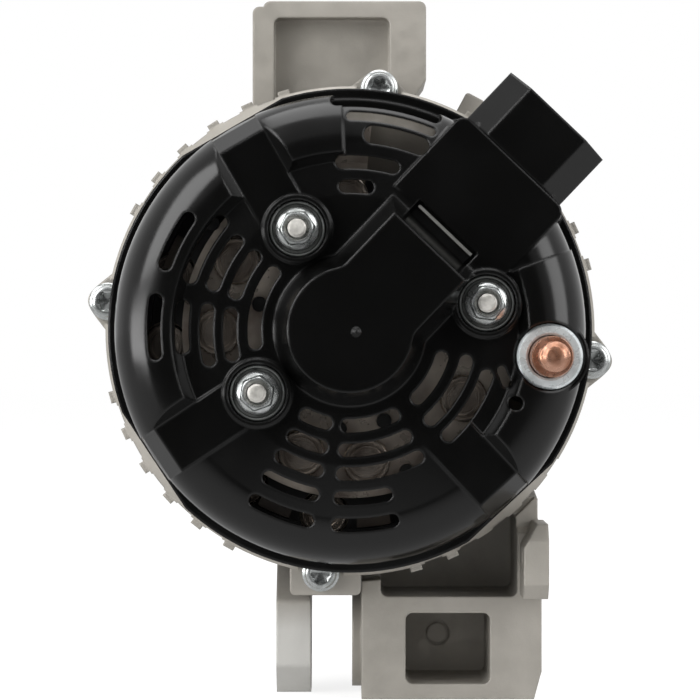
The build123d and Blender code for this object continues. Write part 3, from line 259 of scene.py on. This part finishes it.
def cast_aluminium():
    """Casting, with the post painted bright as a painted highlight, and the wall under the cover
    painted dark as painted shade.
    """
    s = Shader("cast_aluminium", (0.38, 0.36, 0.32), metallic=0.35, roughness=0.5)
    cast = s.colour_from(s.noise(30, 6, 0.6), (0.335, 0.315, 0.28), (0.425, 0.40, 0.36))
    place = s.split(s.coords())
    # painted highlight mask: the post, which is painted pale to stand in for the light on it
    post_highlight_mask = s.product(
        s.map_range(place["X"], POST_HIGHLIGHT_SIDE, FALLING),
        s.map_range(place["Z"], POST_HIGHLIGHT_ROOT, FALLING),
    )
    across = s.add("CombineXYZ")
    s.link(place["X"], across, "X")
    s.link(place["Z"], across, "Y")
    from_shaft = s.add("VectorMath")
    from_shaft.operation = "LENGTH"
    s.link(across.outputs["Vector"], from_shaft, 0)
    # painted shade mask: the wall within the cover rim, behind the rim's face
    wall_shade_mask = s.product(
        s.map_range(from_shaft.outputs["Value"], SHADED_WALL_RIM, FALLING),
        s.map_range(place["Y"], SHADED_WALL_FACE, FALLING),
    )
    # painted highlight: the post's pale colour
    with_post_highlight = s.paint(post_highlight_mask, (0.60, 0.59, 0.56), cast)
    # painted shade: the wall under the cover is painted near black
    s.paint(wall_shade_mask, (0.10, 0.09, 0.075), with_post_highlight)
    s.roughness_from(s.noise(200, 4), 0.42, 0.62)
    s.rounded(0.9 * MM)
    s.bump(s.noise(1400, 3, 0.6), 0.22, 0.0002)
    s.bump(s.noise(60, 3), 0.08, 0.0008)
    return s.material


def laminations():
    """Edges of stacked sheets, as bands along the shaft."""
    s = Shader("laminated_steel", (0.2, 0.2, 0.21), metallic=0.8, roughness=0.45)
    wave = s.add("TexWave", Scale=320.0, Distortion=0.3)
    wave.bands_direction = "Y"
    s.link(s.coords(), wave, "Vector")
    s.colour_from(wave.outputs["Fac"], (0.12, 0.12, 0.125), (0.3, 0.3, 0.31))
    s.roughness_from(s.noise(120, 4), 0.35, 0.6)
    s.bump(wave.outputs["Fac"], 0.4, 0.0003)
    return s.material


def fin_plate():
    """Nearly black plate, its dark colour painted shade, with a painted highlight as a pale band
    along its upper edge.
    """
    s = Shader("fin_plate", (0.03, 0.03, 0.03), metallic=0.5, roughness=0.4)
    along_shaft = s.split(s.coords())["Y"]
    edge = (FIN_HIGHLIGHT_EDGE, FIN_HIGHLIGHT_EDGE + FIN_HIGHLIGHT_BLEND)
    # painted highlight along the upper edge; the rest of the plate is painted near black as shade
    s.colour_from(along_shaft, (0.34, 0.34, 0.32), (0.012, 0.012, 0.012), edge)
    s.roughness_from(s.noise(400, 3), 0.28, 0.45)
    s.bump(s.noise(900, 3), 0.1, 0.0001)
    return s.material


# one material for each material slot of the record
MATERIALS = {
    "dark_steel": surface(
        "dark_steel", (0.035, 0.035, 0.038), 0.35, 0.42,
        tint=(50, 5, (0.028, 0.028, 0.03), (0.055, 0.055, 0.06)),
        gloss=(250, 4, 0.34, 0.52), grain=((1200, 3, 0.08, 0.0001),),
    ),
    "zinc_steel": surface(
        "zinc_steel", (0.56, 0.58, 0.58), 0.88, 0.24, edge=0.2,
        tint=(320, 4, (0.46, 0.48, 0.47), (0.66, 0.68, 0.68)),
        gloss=(400, 3, 0.18, 0.32), grain=((1800, 2, 0.05, 0.0001),),
    ),
    "plain_steel": bare_metal("plain_steel", (0.56, 0.56, 0.57), 0.34),
    "forged_steel": bare_metal("forged_steel", (0.2, 0.2, 0.21), 0.5),
    "white_nylon": matte("white_nylon", (0.72, 0.69, 0.6), 0.5),
    "copper_wire": surface(
        "copper_wire", (0.34, 0.14, 0.06), 0.7, 0.3,
        tint=(180, 3, (0.26, 0.10, 0.045), (0.42, 0.19, 0.09)), grain=((700, 2, 0.05, 0.0002),),
    ),
    "sheet_steel": bare_metal("sheet_steel", (0.45, 0.45, 0.46), 0.4),
    "copper": surface(
        "copper", (0.52, 0.27, 0.18), 0.8, 0.3, edge=0.2,
        tint=(260, 4, (0.38, 0.17, 0.10), (0.62, 0.35, 0.25)),
        gloss=(500, 3, 0.2, 0.4), grain=((700, 3, 0.35, 0.0003),),
    ),
    "brown_resin": matte("brown_resin", (0.13, 0.08, 0.05), 0.5),
    "laminated_steel": laminations(),
    "cast_aluminium": cast_aluminium(),
    "nickel_cup": surface(
        "nickel_cup", (0.44, 0.38, 0.33), 0.85, 0.2, edge=0.1,
        tint=(150, 4, (0.30, 0.25, 0.21), (0.62, 0.55, 0.48)), grain=((900, 3, 0.08, 0.0001),),
    ),
    "black_resin": matte("black_resin", (0.006, 0.006, 0.006), 0.4),
    "carbon": matte("carbon", (0.04, 0.038, 0.035), 0.5),
    "black_gloss": surface(
        "black_gloss", (0.0024, 0.0024, 0.0023), roughness=0.2, edge=1.1,
        gloss=(60, 3, 0.15, 0.23), grain=((900, 2, 0.02, 0.0002), (28, 2, 0.03, 0.0006)),
    ),
    "tinned_brass": bare_metal("tinned_brass", (0.72, 0.68, 0.58), 0.3),
    "grey_steel": bare_metal("grey_steel", (0.30, 0.31, 0.30), 0.34),
    "bearing_steel": bare_metal("bearing_steel", (0.66, 0.66, 0.68), 0.2),
    "bare_aluminium": bare_metal("bare_aluminium", (0.7, 0.7, 0.69), 0.3),
}

# rolled studs, paler and rougher than the nuts
DULL_ZINC = surface(
    "dull_zinc", (0.56, 0.55, 0.51), 0.45, 0.45, edge=0.15,
    tint=(420, 4, (0.40, 0.39, 0.36), (0.68, 0.66, 0.62)),
    gloss=(300, 3, 0.35, 0.55), grain=((900, 3, 0.3, 0.0002),),
)

# stamped heat-sink plate, warm brown-grey and half bright
SINK_PLATE = surface(
    "sink_plate", (0.36, 0.31, 0.26), 0.6, 0.32, edge=0.2,
    tint=(70, 4, (0.24, 0.20, 0.17), (0.54, 0.48, 0.41)),
    gloss=(260, 4, 0.26, 0.45), grain=((1300, 3, 0.12, 0.0001),),
)

# bright zinc with the blue cast of its passivation
PLATED_RING = surface(
    "plated_ring", (0.62, 0.67, 0.68), 0.4, 0.26, edge=0.3,
    tint=(220, 4, (0.54, 0.59, 0.60), (0.72, 0.76, 0.77)),
    gloss=(420, 3, 0.22, 0.38), grain=((1500, 3, 0.08, 0.0001),),
)

# CAD nodes whose finish differs from their slot's
OWN_FINISH = {
    "negative_heat_sink": SINK_PLATE,
    "positive_heat_sink": SINK_PLATE,
    "phase_terminals": matte("tarnished_strap", (0.05, 0.038, 0.028), 0.4),
    "output_ring": PLATED_RING,
    # fin plate with painted shade and a painted highlight along its upper edge
    "regulator_heat_sink": fin_plate(),
}

for entry in frame["record"]["subparts"]:
    finish = OWN_FINISH.get(entry["node"], MATERIALS[entry["material_slot"]])
    layers = NODES[entry["node"]].data.materials
    layers.clear()
    layers.append(finish)


# ------------------------------------------------------- mesh tools
# Shapes are drawn as the part is, in millimetres: x right, y up, z along the shaft towards the
# slip rings.
SMOOTH_ANGLE = math.radians(32)


class Shape:
    """Points and faces of one piece."""

    def __init__(self):
        self.points = []
        self.faces = []

    def skin(self, rings, closed=False):
        """Skin over rings of equal length.

        closed joins the last ring to the first; otherwise both ends are capped.
        """
        first = len(self.points)
        count = len(rings[0])
        for ring in rings:
            self.points.extend(ring)
        spans = len(rings) if closed else len(rings) - 1
        for k in range(spans):
            low = first + k * count
            high = first + ((k + 1) % len(rings)) * count
            for i in range(count):
                j = (i + 1) % count
                self.faces.append((low + i, low + j, high + j, high + i))
        if not closed:
            self.faces.append(tuple(first + i for i in reversed(range(count))))
            self.faces.append(tuple(first + spans * count + i for i in range(count)))

    def piece(self, name, slot, replaced=(), finish=None, body="housing"):
        mesh = bpy.data.meshes.new(name)
        mesh.from_pydata([(x * MM, -z * MM, y * MM) for x, y, z in self.points], [], self.faces)
        work = bmesh.new()
        work.from_mesh(mesh)
        bmesh.ops.recalc_face_normals(work, faces=work.faces)
        work.to_mesh(mesh)
        work.free()
        mesh.shade_smooth()
        mesh.set_sharp_from_angle(angle=SMOOTH_ANGLE)
        obj = bpy.data.objects.new(name, mesh)
        bpy.context.scene.collection.objects.link(obj)
        obj.data.materials.append(finish or MATERIALS[slot])
        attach(obj, body)
        if replaced:
            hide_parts(*replaced)
        return obj


def circle(radius, z, x, y, count):
    """One ring; radius is a number or a function of the angle and the index."""
    ring = []
    for i in range(count):
        angle = 2 * math.pi * i / count
        r = radius(angle, i) if callable(radius) else radius
        ring.append((x + r * math.cos(angle), y + r * math.sin(angle), z))
    return ring


def lathe(x, y, count, profile):
    """Rings about the axis at x, y, one for each (radius, z) of the profile."""
    return [circle(radius, z, x, y, count) for radius, z in profile]


def hexagon(across_flats, turned, limit=99.0):
    """Radius of a hexagon, turned by an angle in degrees, its corners cut back to a circle."""
    def radius(angle, _):
        off = ((angle - math.radians(turned)) % (math.pi / 3)) - math.pi / 6
        return min(across_flats / 2 / math.cos(off), limit)
    return radius


def lobes(radius, depth):
    """Radius of a six-lobed socket."""
    return lambda angle, _: radius - depth * (0.5 - 0.5 * math.cos(6 * angle))


def knurl(radius, depth):
    """Radius of a straight knurl, with every second point cut back."""
    return lambda _, i: radius - depth * (i % 2)


# a thread's shape, as shares of its pitch and depth
RINGS_PER_PITCH = 6
FLANK_SLOPE = 1.7
CREST_SHARE = 0.35
LEAD_IN_SLOPE = 1.3


def thread_rings(x, y, start, end, radius, pitch, depth, count):
    """A screw thread as closely spaced rings, with a lead-in at its free end."""
    steps = int((end - start) / pitch * RINGS_PER_PITCH)
    rings = []
    for k in range(steps + 1):
        z = start + (end - start) * k / steps

        def wave(_, i, z=z):
            phase = ((z - start) / pitch - i / count) % 1.0
            cut = min(1.0, max(0.0, abs(2 * phase - 1) * FLANK_SLOPE - CREST_SHARE))
            return min(radius - depth * cut, radius - pitch + (end - z) * LEAD_IN_SLOPE)

        rings.append(circle(wave, z, x, y, count))
    return rings


def rounded_end(x, y, radius, top, rise, count):
    """Rings of a low domed end."""
    angles = (0.35, 0.75, 1.15, 1.45)
    return lathe(x, y, count, [(radius * math.cos(t), top + rise * math.sin(t)) for t in angles])


# ------------------------------------------------------- places and sizes, from the CAD
def upright(low, high):
    """x, y, radius, lower end and upper end of a solid along the shaft, from its corners in mm."""
    x, y = (low[0] + high[0]) / 2, (low[2] + high[2]) / 2
    return x, y, (high[0] - low[0]) / 2, -high[1], -low[1]


def whole_node(node):
    """upright() of a whole CAD node."""
    low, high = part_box(node)
    return upright([c / MM for c in low], [c / MM for c in high])


def loose_parts(node):
    """upright() of each separate solid in a node, in the order of its first vertex."""
    mesh = NODES[node].data
    parent = list(range(len(mesh.vertices)))

    def root(i):
        while parent[i] != i:
            parent[i] = parent[parent[i]]
            i = parent[i]
        return i

    seen = {}
    for vertex in mesh.vertices:
        key = tuple(round(c, 7) for c in vertex.co)
        parent[vertex.index] = seen.setdefault(key, vertex.index)
    for edge in mesh.edges:
        a, b = (root(v) for v in edge.vertices)
        parent[max(a, b)] = min(a, b)
    groups = {}
    for vertex in mesh.vertices:
        place = NODES[node].matrix_world @ vertex.co
        groups.setdefault(root(vertex.index), []).append(place)
    found = []
    for points in groups.values():
        low = [min(p[k] for p in points) / MM for k in range(3)]
        high = [max(p[k] for p in points) / MM for k in range(3)]
        found.append(upright(low, high))
    return found


# ------------------------------------------------------- fasteners and terminals
M5_PITCH = 0.8
NUT_FLATS = 8.2
NUT_TURNS = (5.0, 20.0, -8.0)   # degrees, as the nuts came to rest
NUT_BORE = 2.55
NUT_SIDES = 72
COLLAR_BORE = 2.8
COLLAR_SIDES = 48
STUD_THREAD = 13.5
STUD_THREAD_DEPTH = 0.42
STUD_SIDES = 32
BOLT_HEAD = 4.6
BOLT_SHANK = 2.5
BOLT_THREAD = 12.0
BOLT_THREAD_DEPTH = 0.4
BOLT_SIDES = 32
TERMINAL_THREAD = 12.0
TERMINAL_PITCH = 1.25
TERMINAL_THREAD_DEPTH = 0.66
TERMINAL_SIDES = 40
DIODE_CUP = 6.0
DIODE_WIRE = 0.8
DIODE_WIRE_LENGTH = 2.0
KNURL_DEPTH = 0.14
DIODE_SIDES = 64


def make_nuts():
    """Flanged M5 nuts with a sloped flange, chamfered corners and a countersunk thread mouth."""
    shape = Shape()
    for (x, y, flange, seat, top), turned in zip(loose_parts("cover_nuts"), NUT_TURNS):
        profile = [
            (NUT_BORE, seat),
            (flange - 0.2, seat),
            (flange, seat + 0.2),
            (flange, seat + 0.45),
            (flange - 0.2, seat + 0.65),
            (hexagon(NUT_FLATS + 0.7, turned, 5.0), seat + 1.25),
            (hexagon(NUT_FLATS + 0.5, turned, 4.95), seat + 1.3),
            (hexagon(NUT_FLATS, turned), seat + 0.9),
            (hexagon(NUT_FLATS, turned), top - 0.7),
            (hexagon(NUT_FLATS, turned, 4.45), top - 0.35),
            (hexagon(NUT_FLATS - 0.15, turned, 4.15), top - 0.08),
            (hexagon(NUT_FLATS - 0.4, turned, 4.0), top),
            (3.45, top),
            (3.3, top - 0.25),
            (2.65, top - 1.1),
            (NUT_BORE, top - 1.2),
        ]
        shape.skin(lathe(x, y, NUT_SIDES, profile), closed=True)
    return shape.piece("flange_nuts", "zinc_steel", ["cover_nuts"])


def make_collars():
    """Pressed collars under the nuts, with a rolled rim and a groove inside it."""
    shape = Shape()
    for x, y, outer, low, top in loose_parts("cover_collars"):
        profile = [
            (COLLAR_BORE, low),
            (outer, low),
            (outer, top - 0.35),
            (outer - 0.15, top - 0.1),
            (outer - 0.45, top),
            (outer - 0.85, top - 0.1),
            (outer - 1.15, top - 0.75),
            (outer - 1.7, top - 0.75),
            (outer - 1.85, top),
            (COLLAR_BORE, top),
        ]
        shape.skin(lathe(x, y, COLLAR_SIDES, profile), closed=True)
    return shape.piece("rolled_collars", "grey_steel", ["cover_collars"])


def make_stud_threads():
    """The three long studs: plain shank, rolled thread and a rough domed end."""
    shape = Shape()
    for x, y, radius, start, end in loose_parts("cover_studs"):
        shank = [
            (radius - 0.3, start),
            (radius - 0.05, start + 0.3),
            (radius - 0.05, end - STUD_THREAD - 0.5),
        ]
        rings = lathe(x, y, STUD_SIDES, shank)
        rings += thread_rings(
            x, y, end - STUD_THREAD, end - 0.4, radius, M5_PITCH, STUD_THREAD_DEPTH, STUD_SIDES
        )
        rings += rounded_end(x, y, radius - 0.45, end - 0.3, 0.25, STUD_SIDES)
        shape.skin(rings)
    return shape.piece("stud_threads", "zinc_steel", ["cover_studs"], DULL_ZINC)


def make_bolts():
    """Long through bolts with a washer flange and a six-lobed socket in a domed head."""
    shape = Shape()
    for x, y, flange, start, top in loose_parts("through_bolts"):
        seat = top - BOLT_HEAD
        # the thread's free end is the bolt's lower end, so its rings are turned over
        thread_end = start + BOLT_THREAD
        thread = thread_rings(
            x, y, 0.0, BOLT_THREAD, BOLT_SHANK, M5_PITCH, BOLT_THREAD_DEPTH, BOLT_SIDES
        )
        rings = [[(px, py, thread_end - pz) for px, py, pz in ring] for ring in reversed(thread)]
        rings += lathe(x, y, BOLT_SIDES, [
            (BOLT_SHANK, thread_end + 0.3),
            (BOLT_SHANK, seat),
            (flange - 0.2, seat),
            (flange, seat + 0.3),
            (flange, seat + 1.0),
            (flange - 0.35, seat + 1.35),
            (flange - 0.8, seat + 1.5),
            (flange - 0.85, top - 0.9),
            (flange - 1.2, top - 0.3),
            (flange - 1.8, top),
            (2.95, top),
            (lobes(2.7, 0.55), top - 0.35),
            (lobes(2.6, 0.55), top - 3.0),
            (0.4, top - 3.5),
        ])
        shape.skin(rings)
    return shape.piece("lobed_bolts", "zinc_steel", ["through_bolts"])


def make_output_stud():
    """Copper battery stud: flange, root, grooved shoulder, thread and domed end."""
    x, y, _, ring_seat, _ = whole_node("output_ring")
    _, _, _, low, top = whole_node("output_stud")
    shoulder = top - TERMINAL_THREAD
    rings = lathe(x, y, TERMINAL_SIDES, [
        (6.3, low),
        (6.5, low + 0.3),
        (6.5, low + 3.0),
        (4.0, low + 3.0),
        (4.0, ring_seat - 0.02),
        (5.5, ring_seat),
        (5.5, shoulder - 1.4),
        (5.15, shoulder - 1.2),
        (5.15, shoulder - 0.8),
        (5.5, shoulder - 0.6),
        (5.3, shoulder),
        (3.6, shoulder),
        (3.6, shoulder + 0.8),
    ])
    rings += thread_rings(
        x, y, shoulder + 1.0, top - 0.5, 4.0, TERMINAL_PITCH, TERMINAL_THREAD_DEPTH, TERMINAL_SIDES
    )
    rings += rounded_end(x, y, 2.7, top - 0.5, 0.5, TERMINAL_SIDES)
    shape = Shape()
    shape.skin(rings)
    return shape.piece("battery_stud", "copper", ["output_stud"])


def make_diodes(name, node, wire_below):
    """Press-fit diodes: knurled cup, rolled rim, potting well and the lead's weld dot."""
    shape = Shape()
    for x, y, radius, low, high in loose_parts(node):
        if wire_below:
            start, top = low + DIODE_WIRE_LENGTH, high
            below = [(DIODE_WIRE, low), (DIODE_WIRE, start)]
            inside = [(1.1, top - 0.75), (DIODE_WIRE, top - 0.5)]
        else:
            start, top = low, low + DIODE_CUP
            below = []
            inside = [(1.5, top - 0.75), (0.85, top - 0.1), (DIODE_WIRE, high)]
        cup = [
            (radius - 0.4, start),
            (radius - 0.1, start + 0.3),
            (knurl(radius, KNURL_DEPTH), start + 0.7),
            (knurl(radius, KNURL_DEPTH), top - 0.9),
            (radius - 0.25, top - 0.35),
            (radius - 0.6, top),
            (radius - 1.0, top),
            (radius - 1.2, top - 1.1),
            (radius - 1.9, top - 1.1),
            (radius - 2.1, top - 0.3),
            (radius - 2.6, top - 0.3),
            (radius - 2.8, top - 0.75),
        ]
        shape.skin(lathe(x, y, DIODE_SIDES, below + cup + inside))
    return shape.piece(name, "nickel_cup", [node])


# ------------------------------------------------------- hairpin winding
SLOTS = 48
LAYER_RADII = (51.75, 53.9, 56.05, 58.2)
WIRE_DEPTH = 1.8    # towards the shaft
WIRE_WIDTH = 1.7
_, _, _, CORE_FRONT, CORE_REAR = whole_node("stator_core")
OVERHANG = 9.3      # how far the winding stands out of the core at each end
LEAN = 22.5         # degrees that a leg turns about the shaft, which is three slots
STRAIGHT = 0.6      # of a leg, out of the core, before it leans
LEG_START = 1.0
FRONT_LEG = OVERHANG - 2.0
REAR_LEG = OVERHANG - 3.4
WELD = 1.8          # length of a leg's upright end
WELD_CLOSING = 0.12
BEND = 0.85
# where along its leaning run a wire's path has points
FRONT_SHARES = (0.06, 0.28, 0.5, 0.72, 0.9)
REAR_SHARES = (0.06, 0.28, 0.5, 0.72, 0.94)


def ribbon(shape, path):
    """Flat wire along (angle in degrees, height, radius) points, its wide side facing the shaft."""
    flat = [(math.radians(a) * r, z) for a, z, r in path]
    rings = []
    for k, (angle, z, r) in enumerate(path):
        before = flat[max(k - 1, 0)]
        after = flat[min(k + 1, len(flat) - 1)]
        along = Vector((after[0] - before[0], after[1] - before[1])).normalized()
        side = Vector((-along.y, along.x)) * WIRE_WIDTH / 2
        ring = []
        for across, depth in ((-1, -1), (1, -1), (1, 1), (-1, 1)):
            radius = r + depth * WIRE_DEPTH / 2
            turn = math.radians(angle) + across * side.x / r
            height = z + across * side.y
            ring.append((radius * math.cos(turn), radius * math.sin(turn), height))
        rings.append(ring)
    shape.skin(rings)


def rear_leg(angle, layer, radius, halfway):
    """A leg that leans out of its slot and ends beside its neighbour, to which it is welded."""
    lean, inward = (LEAN, WELD_CLOSING) if layer % 2 else (-LEAN, -WELD_CLOSING)
    path = [(angle, halfway, radius), (angle, CORE_REAR + STRAIGHT, radius)]
    for share in REAR_SHARES:
        path.append((angle + lean * share, CORE_REAR + LEG_START + REAR_LEG * share, radius))
    path.append((angle + lean, CORE_REAR + OVERHANG - WELD, radius - inward))
    path.append((angle + lean, CORE_REAR + OVERHANG, radius - inward * 2))
    return path


def front_bend(angle, low, high, halfway):
    """A hairpin's bend, out of one slot on the inner layer and back into another on the outer."""
    path = [(angle, halfway, low), (angle, CORE_FRONT - STRAIGHT, low)]
    for share in FRONT_SHARES:
        path.append((angle + LEAN * share, CORE_FRONT - LEG_START - FRONT_LEG * share, low))
    path.append((angle + LEAN, CORE_FRONT - OVERHANG + BEND, (low + high) / 2))
    for share in reversed(FRONT_SHARES):
        height = CORE_FRONT - LEG_START - FRONT_LEG * share
        path.append((angle + LEAN * (2 - share), height, high))
    last = angle + 2 * LEAN
    return path + [(last, CORE_FRONT - STRAIGHT, high), (last, halfway, high)]


def make_winding():
    """Hairpins: bends at the pulley end, leaning legs with welded pairs at the slip-ring end."""
    shape = Shape()
    halfway = (CORE_FRONT + CORE_REAR) / 2
    for n in range(SLOTS):
        angle = n * 360.0 / SLOTS
        for layer, radius in enumerate(LAYER_RADII):
            ribbon(shape, rear_leg(angle, layer, radius, halfway))
        for low, high in (LAYER_RADII[:2], LAYER_RADII[2:]):
            ribbon(shape, front_bend(angle, low, high, halfway))
    return shape.piece("hairpin_winding", "copper_wire", ["stator_winding"])


# ------------------------------------------------------- brush springs
BRUSH_ANGLE = math.radians(46.4)
SPRING_START = 21.1     # distances from the shaft
SPRING_END = 25.5
SPRING_RADIUS = 1.75
SPRING_WIRE = 0.34
SPRING_TURNS = 4
SPRING_STEPS = 96
SPRING_WIRE_SIDES = 8


def make_brush_spring(name, height):
    """Coil spring behind a brush."""
    along = (math.cos(BRUSH_ANGLE), math.sin(BRUSH_ANGLE))
    rings = []
    for k in range(SPRING_STEPS + 1):
        angle = 2 * math.pi * SPRING_TURNS * k / SPRING_STEPS
        ring = []
        for i in range(SPRING_WIRE_SIDES):
            around = 2 * math.pi * i / SPRING_WIRE_SIDES
            out = SPRING_RADIUS + SPRING_WIRE * math.cos(around)
            u = SPRING_START + (SPRING_END - SPRING_START) * k / SPRING_STEPS
            u += SPRING_WIRE * math.sin(around)
            v = out * math.cos(angle)
            x, y = u * along[0] - v * along[1], u * along[1] + v * along[0]
            ring.append((x, y, height + out * math.sin(angle)))
        rings.append(ring)
    shape = Shape()
    shape.skin(rings)
    spring = shape.piece(name, "plain_steel", ["brush_springs"])
    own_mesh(spring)
    return spring


# ------------------------------------------------------- small marks of moulding
STUD_ABOVE_CAP = 11.0
GATE_PLACE = (1.6, -0.6)
GATE_SIDES = 24


def make_gate_mark():
    """The sprue's trace on the cover's raised cap, which ends below the battery stud's tip."""
    top = -cad_bounds[0][1] / MM - STUD_ABOVE_CAP
    shape = Shape()
    shape.skin(lathe(*GATE_PLACE, GATE_SIDES, [
        (1.5, top - 0.3),
        (1.45, top + 0.08),
        (0.8, top + 0.12),
        (0.55, top + 0.4),
        (0.2, top + 0.5),
    ]))
    return shape.piece("cover_gate_mark", "black_gloss")


make_nuts()
make_collars()
make_stud_threads()
make_bolts()
make_output_stud()
make_diodes("pressed_diodes_plus", "positive_diodes", True)
make_diodes("pressed_diodes_minus", "negative_diodes", False)
make_winding()
make_brush_spring("brush_spring_1", 126.0)
make_brush_spring("brush_spring_2", 135.0)
make_gate_mark()


# ------------------------------------------------------- light, floor and camera
def soft_light(name, place, size, watts):
    data = bpy.data.lights.new(name, "AREA")
    data.shape = "RECTANGLE"
    data.size, data.size_y = size
    data.energy = watts
    data.specular_factor = LAMP_GLOSS
    lamp = bpy.data.objects.new(name, data)
    bpy.context.scene.collection.objects.link(lamp)
    lamp.location = place
    aim = Vector(LAMP_AIM) - Vector(place)
    lamp.rotation_euler = aim.to_track_quat("-Z", "Y").to_euler()


def white_world():
    """Pale surroundings: white when seen, dimmer as a lamp, and in gloss dark only to the front."""
    world = bpy.data.worlds.new("studio")
    bpy.context.scene.world = world
    g = Graph(world)
    g.nodes.clear()
    out = g.add("OutputWorld")
    white = (1, 1, 1, 1)
    lamp = g.add("Background", Color=white, Strength=LAMP_LEVEL)
    seen = g.add("Background", Color=white)
    mirror = g.add("Background", Color=white)
    shade = g.add("FloatCurve")
    points = shade.mapping.curves[0].points
    points[0].location = DARK_SIDE[0]
    points[1].location = DARK_SIDE[-1]
    for place, level in DARK_SIDE[1:-1]:
        points.new(place, level)
    shade.mapping.update()
    front_to_back = g.split(g.coords("Generated"))["Y"]
    g.link(g.map_range(front_to_back, (-1.0, 1.0)), shade, "Value")
    g.link(shade.outputs["Value"], mirror, "Strength")
    path = g.add("LightPath").outputs
    lit = g.mix_shaders(
        path["Is Glossy Ray"], lamp.outputs["Background"], mirror.outputs["Background"]
    )
    shown = g.mix_shaders(path["Is Camera Ray"], lit, seen.outputs["Background"])
    g.link(shown, out, "Surface")


def pale_floor():
    """Floor that takes the object's shadow and looks white round it."""
    bpy.ops.mesh.primitive_circle_add(
        vertices=96, radius=FLOOR_RADIUS, fill_type="NGON", location=(0, 0, FLOOR_HEIGHT)
    )
    floor = bpy.context.object
    floor.name = "floor"
    material = bpy.data.materials.new("floor_white")
    g = Graph(material)
    g.nodes.clear()
    out = g.add("OutputMaterial")
    diffuse = g.add("BsdfDiffuse", Color=FLOOR_COLOUR)
    glow = g.add("Emission", Strength=FLOOR_GLOW)
    mirrored = g.add("Emission")
    path = g.add("LightPath").outputs
    share = g.add("Math")
    share.operation = "MULTIPLY"
    share.inputs[1].default_value = FLOOR_GLOW_SHARE
    g.link(path["Is Camera Ray"], share, 0)
    seen = g.mix_shaders(
        share.outputs["Value"], diffuse.outputs["BSDF"], glow.outputs["Emission"]
    )
    fade = g.map_range(g.split(g.coords())["Y"], FLOOR_FADE, FLOOR_FADE_LEVELS)
    g.link(fade, mirrored, "Strength")
    final = g.mix_shaders(path["Is Glossy Ray"], seen, mirrored.outputs["Emission"])
    g.link(final, out, "Surface")
    floor.data.materials.append(material)


def photo_camera():
    data = bpy.data.cameras.new("photo_view")
    data.lens = CAMERA_LENS
    data.sensor_width = SENSOR
    data.clip_end = CAMERA_REACH
    camera = bpy.data.objects.new("photo_view", data)
    bpy.context.scene.collection.objects.link(camera)
    camera.location = CAMERA_PLACE
    camera.rotation_euler = (math.radians(90), 0, 0)
    bpy.context.scene.camera = camera


white_world()
pale_floor()
photo_camera()
for lamp in LAMPS:
    soft_light(*lamp)
bpy.context.scene.view_settings.view_transform = "Standard"
